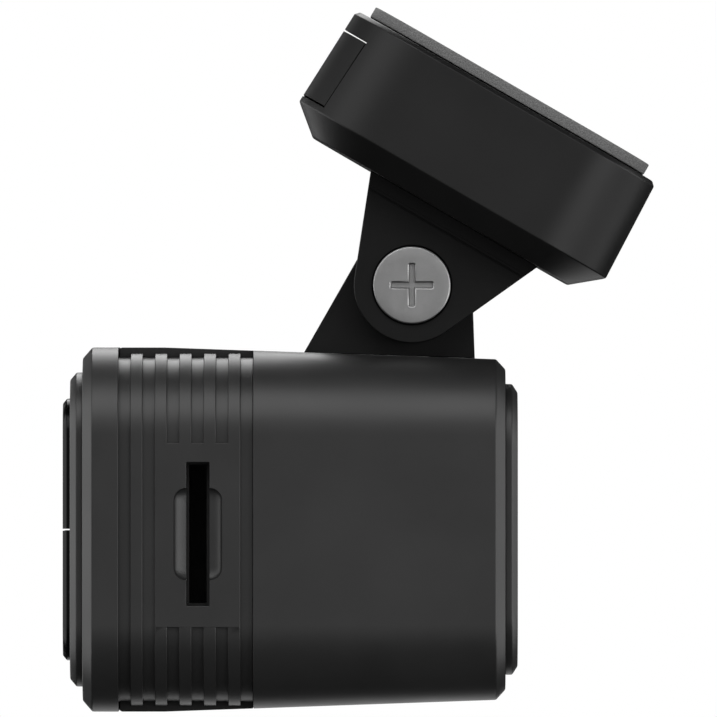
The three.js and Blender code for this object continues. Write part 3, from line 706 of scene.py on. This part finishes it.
def rear_shell_profile():
    """The outside from the back to the seam, the lip that enters the front shell, and the inside."""
    straight = BODY_STRAIGHT
    profile = [
        (BODY_REAR, BODY_HALF - 3, straight, 0),
        (BODY_REAR, BODY_HALF - REAR_CHAMFER[1], straight, EDGE),
        (BODY_REAR + REAR_CHAMFER[0], BODY_HALF, straight, EDGE),
        (BAND_REAR, BODY_HALF, straight, SEAM_EDGE),
        (BAND_REAR, GROOVE_LEVEL, straight, 0),
    ]
    for start in rib_starts:
        profile += [
            (start, GROOVE_LEVEL, straight, 0),
            (start, RIB_LEVEL, straight, RIB_EDGE),
            (start + RIB_PITCH, RIB_LEVEL, straight, RIB_EDGE),
            (start + RIB_PITCH, GROOVE_LEVEL, straight, 0),
        ]
    lip_outside, lip_inside = CAVITY_HALF - 0.2, CAVITY_HALF - 1
    profile += [
        (SEAM, GROOVE_LEVEL, straight, 0),
        (SEAM, lip_outside, straight, 0),
        (SEAM + 1, lip_outside, straight, 0),
        (SEAM + 1, lip_inside, straight, 0),
        (SEAM - 1.5, lip_inside, straight, 0),
        (SEAM - 2.5, CAVITY_HALF, straight, 0),
        (REAR_WALL, CAVITY_HALF, straight, 0),
    ]
    return profile


def rear_wall_holes():
    """Holes through the back for the case's screws and for the stems of the two buttons."""
    outside = BODY_REAR - 1
    holes = [rod("x", SCREW_HOLE, (outside, SEAM + 1), spot) for spot in post_spots()]
    holes += [rod("x", SCREW_HEAD_HOLE, (outside, BODY_REAR + 1), spot) for spot in post_spots()]
    holes += [rod("x", STEM_HOLE, (outside, REAR_WALL + 1), (0, z)) for z in both(STEM_Z)]
    return holes


def grille_cutters(side):
    """The pocket that a vent grille sits in, and the window below it that leaves a ledge all round."""
    ledge, outside = 1.4, 17
    pocket_z = sorted((side * (GRILLE_BOTTOM - GAP), side * outside))
    window_z = sorted((side * 12.5, side * outside))
    return [
        block((BAND_REAR, SEAM + 3), both(GRILLE_HALF + 0.08), pocket_z),
        block((BAND_REAR + ledge, SEAM - ledge), both(GRILLE_HALF - ledge), window_z),
    ]


def rear_shell():
    """The rear half of the case, with the ribs, the card slot and the USB inlet."""
    shell = square_solid(rear_shell_profile(), "x")
    shell = join(shell, side_panel(-1), side_panel(1))
    posts = [rod("x", POST_RADIUS, (REAR_WALL - 0.5, SEAM), spot) for spot in post_spots()]
    shell = join(shell, *posts)
    cutters = rear_wall_holes() + grille_cutters(-1) + grille_cutters(1)
    cutters.append(pocket(SLOT_SIZE, SLOT_CORNER, (-RIB_LEVEL, -SLOT_END), 0.05, SLOT_AT))
    cutters.append(finger_scoop(-RIB_LEVEL))
    cutters.append(pocket(USB_SIZE, USB_CORNER, (RIB_LEVEL, SLOT_END), 0.12, USB_AT))
    return cut(shell, *cutters)


def finger_scoop(face):
    """The hollow that lets a fingertip reach the card: its long sides curve in, its ends are steep."""
    half = (SCOOP_SIZE[0] / 2, SCOOP_SIZE[1] / 2)
    flare = 0.06  # above the face
    roundness = 0.96  # 1 would bring the long sides together at the bottom
    end_slope = 0.25
    sections = [(face - 2, half[0] + flare, half[1] + flare, SCOOP_CORNER + flare)]
    steps = 9
    for step in range(steps + 1):
        share = step / steps
        depth = SCOOP_DEPTH * share
        width = half[0] * math.sqrt(1 - (share * roundness) ** 2)
        height = half[1] - end_slope * share**2
        corner = min(SCOOP_CORNER, width * 0.9)
        sections.append((face + depth, width, height, corner))
    return loft(sections, "y", SLOT_AT, steps=8)


def front_shell():
    """The front half of the case, with the round hole for the lens."""
    straight = BODY_STRAIGHT
    chamfer = BODY_FRONT - FRONT_CHAMFER[0]
    profile = [
        (SEAM + GAP, body_half(SEAM), straight, SEAM_EDGE),
        (chamfer, body_half(chamfer), straight, EDGE),
        (BODY_FRONT, body_half(BODY_FRONT) - FRONT_CHAMFER[1], straight, EDGE),
        (BODY_FRONT, LENS_HOLE, 0, 0),
        (FRONT_WALL, LENS_HOLE, 0, 0),
        (FRONT_WALL, CAVITY_HALF, straight, 0),
        (SEAM + GAP, CAVITY_HALF, straight, 0),
    ]
    shell = square_solid(profile, "x", loop=True)
    posts = []
    for spot in post_spots():
        post = rod("x", POST_RADIUS, (SEAM + 1.2, FRONT_WALL - 0.5), spot)
        posts.append(cut(post, rod("x", THREAD_HOLE, (SEAM - 1, THREAD_END), spot)))
    ties = [rod("x", POST_RADIUS, (FRONT_WALL - 0.6, FRONT_WALL + 0.5), spot) for spot in post_spots()]
    shell = join(shell, *posts, *ties)
    holes = [rod("z", 1, (12.5, 16), spot) for spot in BRACKET_SCREWS]
    return cut(shell, *holes)


def vent_grille(up):
    """A louvred insert, level with the body's outline and rounded off at its rear end."""
    rear, front = BAND_REAR + GAP, SEAM
    radius, steps = 0.3, 6

    def outline(inset):
        points = [Vector((front - inset, GRILLE_BOTTOM + inset))]
        points.append(Vector((front - inset, body_half(front) - inset)))
        points.append(Vector((TAPER_START, BODY_HALF - inset)))
        for step in range(steps + 1):
            angle = math.pi / 2 * (1 + step / steps)
            arc = Vector((math.cos(angle), math.sin(angle))) * (radius - inset)
            points.append(Vector((rear + radius, BODY_HALF - radius)) + arc)
        points.append(Vector((rear + inset, GRILLE_BOTTOM + inset)))
        return points

    insert = plate(outline, both(GRILLE_HALF), 0.08)
    slots = []
    half_u, half_v, flare = 0.42, GRILLE_HALF - 1.7, 0.18
    for start in rib_starts:
        sections = [
            (12, half_u, half_v, half_u),
            (15.2, half_u, half_v, half_u),
            (15.75, half_u + flare, half_v + flare, half_u + flare),
        ]
        slots.append(loft(sections, "z", (start + RIB_PITCH / 2, 0), steps=steps))
    insert = cut(insert, *slots)
    if not up:
        insert.transform(Matrix.Rotation(math.pi, 4, "X"))
    return insert


def rear_bezel():
    """The stepped frame round the two rear buttons."""
    straight = REAR_BEZEL_HALF - REAR_BEZEL_CORNER
    opening_straight = REAR_OPENING_HALF - REAR_OPENING_CORNER
    profile = [
        (BODY_REAR - GAP, REAR_BEZEL_HALF, straight, 0),
        (REAR_BEZEL_REAR + 0.55, REAR_BEZEL_HALF, straight, 0.1),
        (REAR_BEZEL_REAR, REAR_BEZEL_HALF - 0.65, straight, 0.1),
        (REAR_BEZEL_REAR, REAR_OPENING_HALF, opening_straight, 0.07),
        (BODY_REAR - GAP, REAR_OPENING_HALF, opening_straight, 0),
    ]
    return square_solid(profile, "x", loop=True)


def rear_button(side):
    """One of the two push buttons at the back, with its chamfered cap and its stem."""
    straight = BUTTON_HALF - BUTTON_CORNER
    profile = [
        (BUTTON_REAR, BUTTON_HALF - 2, straight - 1, 0),
        (BUTTON_REAR, BUTTON_HALF - 0.43, straight, 0.08),
        (BUTTON_REAR + 0.35, BUTTON_HALF, straight, 0.08),
        (BUTTON_FRONT, BUTTON_HALF, straight, 0),
    ]
    cap = square_solid(profile, "x")
    half_z = sorted((side * BUTTON_SLIT / 2, side * 20))
    half_space = block((BUTTON_REAR - 1, BUTTON_FRONT + 1), both(BUTTON_HALF + 1), half_z)
    if side < 0:
        draft(half_space, -BUTTON_SLIT / 2, -BUTTON_DRAFT)
    cap = common(cap, half_space)
    spot = (0, side * STEM_Z)
    stem = rod("x", STEM_RADIUS, (BUTTON_FRONT - 0.5, STEM_END), spot)
    barb = turned([(STEM_END - 0.42, 2, 0), (STEM_END - 0.1, 1.7, 0)], "x", spot)
    return join(cap, stem, barb)


def front_bezel():
    """The stepped frame at the front, with the seat of the cover glass."""
    straight = FRONT_BEZEL_HALF - FRONT_BEZEL_CORNER
    seat = glass_high.z + 0.1
    profile = [
        (BODY_FRONT + GAP, FRONT_BEZEL_HALF, straight, 0),
        (FRONT_BEZEL_FRONT - 0.47, FRONT_BEZEL_HALF, straight, 0.1),
        (FRONT_BEZEL_FRONT, FRONT_BEZEL_HALF - 0.73, straight, 0.1),
        (FRONT_BEZEL_FRONT, seat, 0, 0.06),
        (glass_low.x - GAP, seat, 0, 0),
        (glass_low.x - GAP, FRONT_BEZEL_HOLE, 0, 0),
        (BODY_FRONT + GAP, FRONT_BEZEL_HOLE, 0, 0),
    ]
    return square_solid(profile, "x", loop=True)


def make_case():
    add_piece("rear_shell", rear_shell(), CAMERA)
    add_piece("front_shell", front_shell(), CAMERA)
    add_piece("top_vent_grille", vent_grille(True), CAMERA)
    add_piece("bottom_vent_grille", vent_grille(False), CAMERA)
    add_piece("rear_bezel", rear_bezel(), CAMERA)
    add_piece("upper_button", rear_button(1), CAMERA, "button_plastic")
    add_piece("lower_button", rear_button(-1), CAMERA, "button_plastic")
    add_piece("front_bezel", front_bezel(), CAMERA)


def cover_glass_disc():
    """The flat glass in front of the lens."""
    radius = glass_high.z
    return turned([
        (glass_low.x, radius - 3, 0),
        (glass_low.x, radius, 0.05),
        (glass_high.x, radius, 0.1),
        (glass_high.x, radius - 3, 0),
    ], "x")


def lens_shroud():
    """A stepped funnel from the cover glass down to the lens."""
    steps = 7
    front, shoulder, rear = -0.75, -2.1, -3.3
    wide, narrow = 8.1, 5.7
    rim, neck = 9.2, 7.4
    profile = [(front, rim, 0), (shoulder, rim, 0), (shoulder, neck, 0), (rear, neck, 0)]
    for i in range(steps):
        x = rear + (front - rear) * i / steps
        radius = narrow + (wide - narrow) * i / steps
        rise = (front - rear) / steps
        profile += [(x, radius, 0), (x + rise, radius + 0.02, 0)]
    profile.append((front, wide, 0))
    return turned(profile, "x", loop=True)


def lens_barrel():
    """The barrel that holds the lenses, with a grooved front rim, a thread and a stepped bore."""
    front, rear = -3.4, -15.4
    rim, outside = 6.9, 6
    groove = front - 0.1
    profile = [
        (front, 5.3, 0.1),
        (front, 6.1, 0),
        (groove, 6.2, 0),
        (groove, 6.4, 0),
        (front, 6.5, 0),
        (front, rim, EDGE),
        (-5, rim, 0),
        (-5, outside, 0),
    ]
    thread, turns = 0.35, 20
    for i in range(turns):
        x = -5.4 - thread * i
        profile += [(x, outside, 0), (x - thread / 2, 5.8, 0)]
    profile += [(rear, outside, 0)]
    bore = [(rear, -12, 3), (-12, -9, 3.4), (-9, -6.4, 4.3)]
    for start, end, radius in bore:
        profile += [(start, radius, 0), (end, radius, 0)]
    profile += [(-6.4, 5.3, 0)]
    return turned(profile, "x", loop=True)


def domed_lens(node):
    """A lens with a flat back and a spherical front."""
    low, high = extent(node, CAMERA)
    radius = high.z
    sag = {"front_lens": 1.3, "middle_lens": 0.7, "rear_lens": 0.6}[node]
    sphere = (radius**2 + sag**2) / (2 * sag)
    profile = [(low.x, radius * 0.5, 0), (low.x, radius, 0.06)]
    steps = 12
    for i in range(steps):
        ring_radius = radius * (1 - i / steps)
        x = high.x - sphere + math.sqrt(sphere**2 - ring_radius**2)
        profile.append((x, ring_radius, 0))
    return turned(profile, "x")


def make_optics():
    add_piece("cover_glass", cover_glass_disc(), CAMERA)
    add_piece("lens_shroud", lens_shroud(), CAMERA)
    add_piece("lens_barrel", lens_barrel(), CAMERA)
    for node in ("front_lens", "middle_lens", "rear_lens"):
        add_piece(node, domed_lens(node), CAMERA)


def mount_profile():
    """The outside of the mount, from its underside up: it is widest just above its lower chamfer."""
    straight = MOUNT_STRAIGHT
    return [
        (MOUNT_BOTTOM, MOUNT_BOTTOM_HALF - 3, straight, 0),
        (MOUNT_BOTTOM, MOUNT_BOTTOM_HALF, straight, 0.15),
        (MOUNT_WIDE, MOUNT_WIDE_HALF, straight, 0.1),
        (MOUNT_TOP - MOUNT_EDGE, MOUNT_TOP_HALF, straight, 0.08),
        (MOUNT_TOP, MOUNT_TOP_HALF - MOUNT_EDGE, straight, 0.08),
    ]


def mount_housing():
    """The hollow mount, open where the release button sits, with the seats of its two springs."""
    straight = MOUNT_STRAIGHT
    seat_half, seat_z = PLATE_HALF + 0.15, PLATE_BOTTOM - 0.1
    profile = mount_profile() + [
        (MOUNT_TOP, seat_half, straight, 0),
        (seat_z, seat_half, straight, 0),
        (seat_z, MOUNT_CAVITY, straight, 0),
        (MOUNT_FLOOR, MOUNT_CAVITY, straight, 0),
    ]
    housing = square_solid(profile, "z")
    pocket_x = (-20, RELEASE_INNER + RELEASE_TRAVEL + 0.2)
    pocket_z = (RELEASE_BOTTOM - RELEASE_SLIT, RELEASE_TOP + RELEASE_SLIT)
    button_pocket = block(pocket_x, both(RELEASE_HALF + RELEASE_SIDE_SLIT), pocket_z)
    housing = cut(
        housing,
        draft(button_pocket, pocket_z[1], RELEASE_DRAFT),
        block((-14.35, pocket_x[1]), both(3.15), (RELEASE_BOTTOM - 0.85, RELEASE_TOP)),
        *[rod("z", 1.1, (-13, -10), spot) for spot in FORK_SCREWS],
    )
    seat_x = (SPRING_HIGH.x + 0.15, SPRING_HIGH.x + 1.15)
    seat_half_y = 2.6
    seats = []
    for y in both(SPRING_AT[0]):
        seats.append(block(seat_x, (y - seat_half_y, y + seat_half_y), (MOUNT_FLOOR - 0.5, -4.2)))
    return join(housing, *seats)


def release_edge(z):
    """Where the side edge of the release button's face lies in x, on the round corner of the mount."""
    share = (MOUNT_TOP - z) / (MOUNT_TOP - MOUNT_WIDE)
    corner = MOUNT_TOP_HALF + (MOUNT_WIDE_HALF - MOUNT_TOP_HALF) * share - MOUNT_STRAIGHT
    reach = RELEASE_HALF - MOUNT_STRAIGHT
    return -MOUNT_STRAIGHT - math.sqrt(corner**2 - reach**2)


def release_side_cutter(side):
    """Takes away the button's side behind its face, along the mount's taper."""
    skin_depth = 0.03
    y0, y1 = side * (RELEASE_HALF - RELEASE_STEP), side * (RELEASE_HALF + 1)
    x1 = RELEASE_INNER + 1
    rings = []
    for z in (RELEASE_BOTTOM - 1, RELEASE_TOP + 1):
        x0 = release_edge(z) + skin_depth
        rings.append([(x0, y0, z), (x1, y0, z), (x1, y1, z), (x0, y1, z)])
    return skin(rings)


def release_button():
    """The release button: a piece of the mount's rear wall, with its guide, its latch and two pegs."""
    outside = square_solid(mount_profile(), "z")
    face = common(outside, block((-20, RELEASE_INNER), both(RELEASE_HALF), (RELEASE_BOTTOM, RELEASE_TOP)))
    face = cut(face, release_side_cutter(-1), release_side_cutter(1))
    peg_x = (RELEASE_INNER - 0.5, RELEASE_INNER + 0.9)
    pegs = [rod("x", PEG_RADIUS, peg_x, (y, SPRING_AT[1])) for y in both(SPRING_AT[0])]
    guide = block((-14.2, RELEASE_INNER), both(3), (RELEASE_BOTTOM - 0.68, RELEASE_BOTTOM + 1))
    arm = block((RELEASE_INNER - 0.5, LATCH_FRONT), both(LATCH_HALF), (-6.2, -5))
    hook = block((LATCH_REAR, LATCH_FRONT), both(LATCH_HALF), (-5.5, -1.7))
    return join(face, guide, arm, hook, *pegs)


def adhesive_pad():
    """The foam pad that sticks to the windshield."""
    half = pad_high.y
    straight = MOUNT_STRAIGHT
    profile = [
        (pad_low.z, half - 3, straight, 0),
        (pad_low.z, half, straight, EDGE),
        (pad_high.z, half, straight, EDGE),
        (pad_high.z, half - 3, straight, 0),
    ]
    return square_solid(profile, "z")


def windshield_plate():
    """The plate that the pad is bonded to, with the slot that the latch hooks into."""
    straight = MOUNT_STRAIGHT
    profile = [
        (PLATE_BOTTOM, PLATE_HALF - 2, straight, 0),
        (PLATE_BOTTOM, PLATE_HALF, straight, 0.2),
        (PLATE_TOP, PLATE_HALF, straight, 0.1),
        (PLATE_TOP, PLATE_HALF - 2, straight, 0),
    ]
    latch_slot = block((LATCH_REAR - 0.15, LATCH_FRONT + 1.35), both(LATCH_HALF + 0.2), (-5, 0))
    return cut(square_solid(profile, "z"), latch_slot)


def hinge_fork():
    """The fork under the mount: a flange and two ears, with the holes for the hinge screw."""
    def outline(inset):
        points = boss_outline(PIVOT, EAR_RADIUS, (EAR_REAR, FLANGE_TOP), (EAR_FRONT, FLANGE_TOP), inset)
        for point in points[:2]:
            point.y += MOUNT_BOTTOM - FLANGE_TOP - FLANGE_GAP
        return points

    near_ear = plate(outline, (-EAR_OUTER, -EAR_INNER), PLATE_EDGE)
    far_ear = plate(outline, (EAR_INNER, EAR_OUTER), PLATE_EDGE)
    whole = plate(outline, both(FLANGE_HALF), PLATE_EDGE)
    flange = common(whole, block((-20, 20), both(20), (FLANGE_BOTTOM, 0)))
    fork = join(flange, near_ear, far_ear)
    counterbore = turned([
        (-10, HEAD_RADIUS + HEAD_GAP_OUTSIDE, 0),
        (-EAR_OUTER, HEAD_RADIUS + HEAD_GAP_OUTSIDE, 0),
        (-EAR_OUTER + 0.06, HEAD_RADIUS + HEAD_GAP, 0),
        (HEAD_SEAT + 0.1, HEAD_RADIUS + HEAD_GAP, 0),
    ], "y", PIVOT)
    grooves = []
    for y in both(EAR_OUTER):
        across = (y - FORK_GROOVE_DEPTH, y + FORK_GROOVE_DEPTH)
        grooves.append(block((-20, 20), across, FORK_GROOVE))
    nut_recess = loft([(y, NUT_RECESS, NUT_RECESS, NUT_RECESS) for y in (5.4, 10)], "y", PIVOT)
    return cut(
        fork,
        rod("y", SHANK_RADIUS + 0.1, both(10), PIVOT),
        counterbore,
        nut_recess,
        *grooves,
        *[rod("z", 1.05, (-15.2, -12), spot) for spot in FORK_SCREWS],
    )


def hinge_bracket():
    """The bracket on top of the case, with its lug between the ears."""
    rear = (FOOT_REAR, body_half(FOOT_REAR) + FOOT_GAP)
    front = (FOOT_FRONT, body_half(FOOT_FRONT) + FOOT_GAP)

    def outline(inset):
        return boss_outline(LUG_PIVOT, LUG_RADIUS, rear, front, inset)

    return cut(
        plate(outline, both(LUG_HALF), PLATE_EDGE),
        rod("y", BUSH_RADIUS, both(10), LUG_PIVOT),
        *[rod("z", 1, (13, 17.9), spot) for spot in BRACKET_SCREWS],
    )


def hinge_screw():
    """A pan-head screw with a cross recess whose walls slope, upright when the screw is tight."""
    face = screw_low.y
    body = turned([
        (face, HEAD_RADIUS - 1, 0),
        (face, HEAD_RADIUS, 0.16),
        (HEAD_SEAT, HEAD_RADIUS, 0.05),
        (HEAD_SEAT, SHANK_RADIUS, 0),
        (screw_high.y, SHANK_RADIUS, 0.3),
        (screw_high.y, SHANK_RADIUS * 0.4, 0),
    ], "y")
    length, width, depth, flare, corner = 3.58, 0.44, 0.45, 0.17, 0.1
    recess_y = (face, face + depth)
    cross = join(
        pocket((length, width), corner, recess_y, flare, (0, 0)),
        pocket((width, length), corner, recess_y, flare, (0, 0)),
    )
    tilt = MOUNT.to_euler().y
    cross.transform(Matrix.Rotation(-tilt, 4, "Y"))
    screw = cut(body, cross)
    screw.transform(Matrix.Translation((PIVOT[0], 0, PIVOT[1])))
    return screw


def release_spring(side):
    """A coil spring along x, between the button's peg and the housing's seat."""
    turns, sides, per_turn = 4, 10, 28
    radius = (SPRING_HIGH.y - SPRING_LOW.y) / 2 - SPRING_WIRE
    start, end = SPRING_LOW.x + SPRING_WIRE, SPRING_HIGH.x - SPRING_WIRE
    rings = []
    for step in range(turns * per_turn + 1):
        angle = 2 * math.pi * step / per_turn
        x = start + (end - start) * step / (turns * per_turn)
        outward = Vector((0, math.cos(angle), math.sin(angle)))
        centre = Vector((x, side * SPRING_AT[0], SPRING_AT[1])) + outward * radius
        ring = []
        for i in range(sides):
            around = 2 * math.pi * i / sides
            offset = outward * math.cos(around) + Vector((1, 0, 0)) * math.sin(around)
            ring.append(centre + offset * SPRING_WIRE)
        rings.append(ring)
    return skin(rings)


def make_mount():
    pad = add_piece("adhesive_pad", adhesive_pad(), MOUNT)
    add_piece("windshield_plate", windshield_plate(), MOUNT)
    add_piece("mount_housing", mount_housing(), MOUNT)
    add_piece("release_button", release_button(), MOUNT)
    add_piece("hinge_fork", hinge_fork(), MOUNT)
    add_piece("hinge_screw", hinge_screw(), MOUNT)
    add_piece("hinge_bracket", hinge_bracket(), CAMERA)
    for name, side in (("near", -1), ("far", 1)):
        spring = add_piece(f"{name}_release_spring", release_spring(side), MOUNT)
        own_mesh(spring)


def finish_cad_nodes():
    """Gives the CAD nodes that stay in view the material of their slot."""
    for name, node in frame["nodes"].items():
        node.data.materials.clear()
        node.data.materials.append(MATERIALS[slot_of[name]])


# ------------------------------------------------------------ studio

def soft_light(name, place, target, size, power):
    """A soft box that lights the object and isn't seen itself."""
    light = bpy.data.lights.new(name, "AREA")
    light.shape = "SQUARE"
    light.size = size
    light.energy = power
    lamp = bpy.data.objects.new(name, light)
    bpy.context.scene.collection.objects.link(lamp)
    lamp.location = place
    lamp.rotation_euler = (Vector(target) - Vector(place)).to_track_quat("-Z", "Y").to_euler()
    lamp.visible_camera = False
    return lamp


def make_world():
    """Plain white behind the object for the eye, and a dim even grey as its light."""
    dim = 0.04
    world = bpy.data.worlds.new("studio")
    bpy.context.scene.world = world
    world.use_nodes = True
    nodes, links = world.node_tree.nodes, world.node_tree.links
    nodes.clear()
    seen = nodes.new("ShaderNodeBackground")
    seen.inputs["Color"].default_value = (1, 1, 1, 1)
    light = nodes.new("ShaderNodeBackground")
    light.inputs["Color"].default_value = (dim, dim, dim, 1)
    rays = nodes.new("ShaderNodeLightPath")
    mix = nodes.new("ShaderNodeMixShader")
    out = nodes.new("ShaderNodeOutputWorld")
    links.new(rays.outputs["Is Camera Ray"], mix.inputs["Fac"])
    links.new(light.outputs["Background"], mix.inputs[1])
    links.new(seen.outputs["Background"], mix.inputs[2])
    links.new(mix.outputs["Shader"], out.inputs["Surface"])


def make_floor():
    """A plain pale floor below the object, which hangs clear of it."""
    radius, height = 2, -0.12
    mesh = bmesh.new()
    bmesh.ops.create_circle(mesh, cap_ends=True, segments=96, radius=radius)
    floor = as_object(mesh, "floor")
    floor.location.z = height
    surface = Surface("pale floor", 0.9)
    surface.colour(surface.blend(surface.noise(0.4), grey(0.02), grey(0.03)))
    surface.shader.inputs["Emission Color"].default_value = (1, 1, 1, 1)
    surface.shader.inputs["Emission Strength"].default_value = 0.78  # evenly pale
    floor.data.materials.append(surface.material)
    floor.visible_glossy = False  # so that it stays out of the object's reflections


LIGHTS = {
    # azimuth and elevation in degrees, distance and size in metres, watts; azimuth 0 faces the -Y side
    "front": (0, 0, 0.8, 0.55, 0.8),
    "front_high": (0, 45, 0.8, 0.55, 4.8),
    "front_left": (-45, 0, 0.8, 0.55, 0.8),
    "front_left_high": (-45, 40, 0.8, 0.55, 3.2),
    "front_right": (45, 0, 0.8, 0.55, 5.5),
    "left": (-90, 0, 1.2, 1.2, 17.0),
    "right": (90, 0, 1.2, 1.2, 14.0),
    "back_left": (-135, 0, 0.8, 0.55, 1.2),
    "back_high": (180, 45, 0.8, 0.55, 5.2),
    "back_low": (180, -38, 0.13, 0.09, 0.028),
}


def make_lights():
    """Places the soft boxes round the middle of the object."""
    middle = (cad_box[0] + cad_box[1]) / 2
    for name, (azimuth, elevation, distance, size, power) in LIGHTS.items():
        turn, rise = math.radians(azimuth), math.radians(elevation)
        level = math.cos(rise)
        towards = Vector((math.sin(turn) * level, -math.cos(turn) * level, math.sin(rise)))
        soft_light(name, middle + towards * distance, middle, size, power)


def make_camera():
    """A long lens looks along +Y, level, so that the view is close to a true side view."""
    lens, sensor = 1200, 36
    near_plane = -0.008  # in y, close to the fork's near face
    frame_width = 0.06166  # what the view takes in at that plane
    middle_x, middle_z = -0.01325, -0.02344
    data = bpy.data.cameras.new("camera")
    data.lens, data.sensor_width = lens, sensor
    data.clip_end = 10
    camera = bpy.data.objects.new("camera", data)
    bpy.context.scene.collection.objects.link(camera)
    camera.location = (middle_x, near_plane - frame_width * lens / sensor, middle_z)
    camera.rotation_euler = (math.pi / 2, 0, 0)
    bpy.context.scene.camera = camera


make_camera()
make_materials()
finish_cad_nodes()
make_case()
make_optics()
make_mount()
make_world()
make_floor()
make_lights()
bpy.context.scene.view_settings.view_transform = "Standard"  # so that white stays white
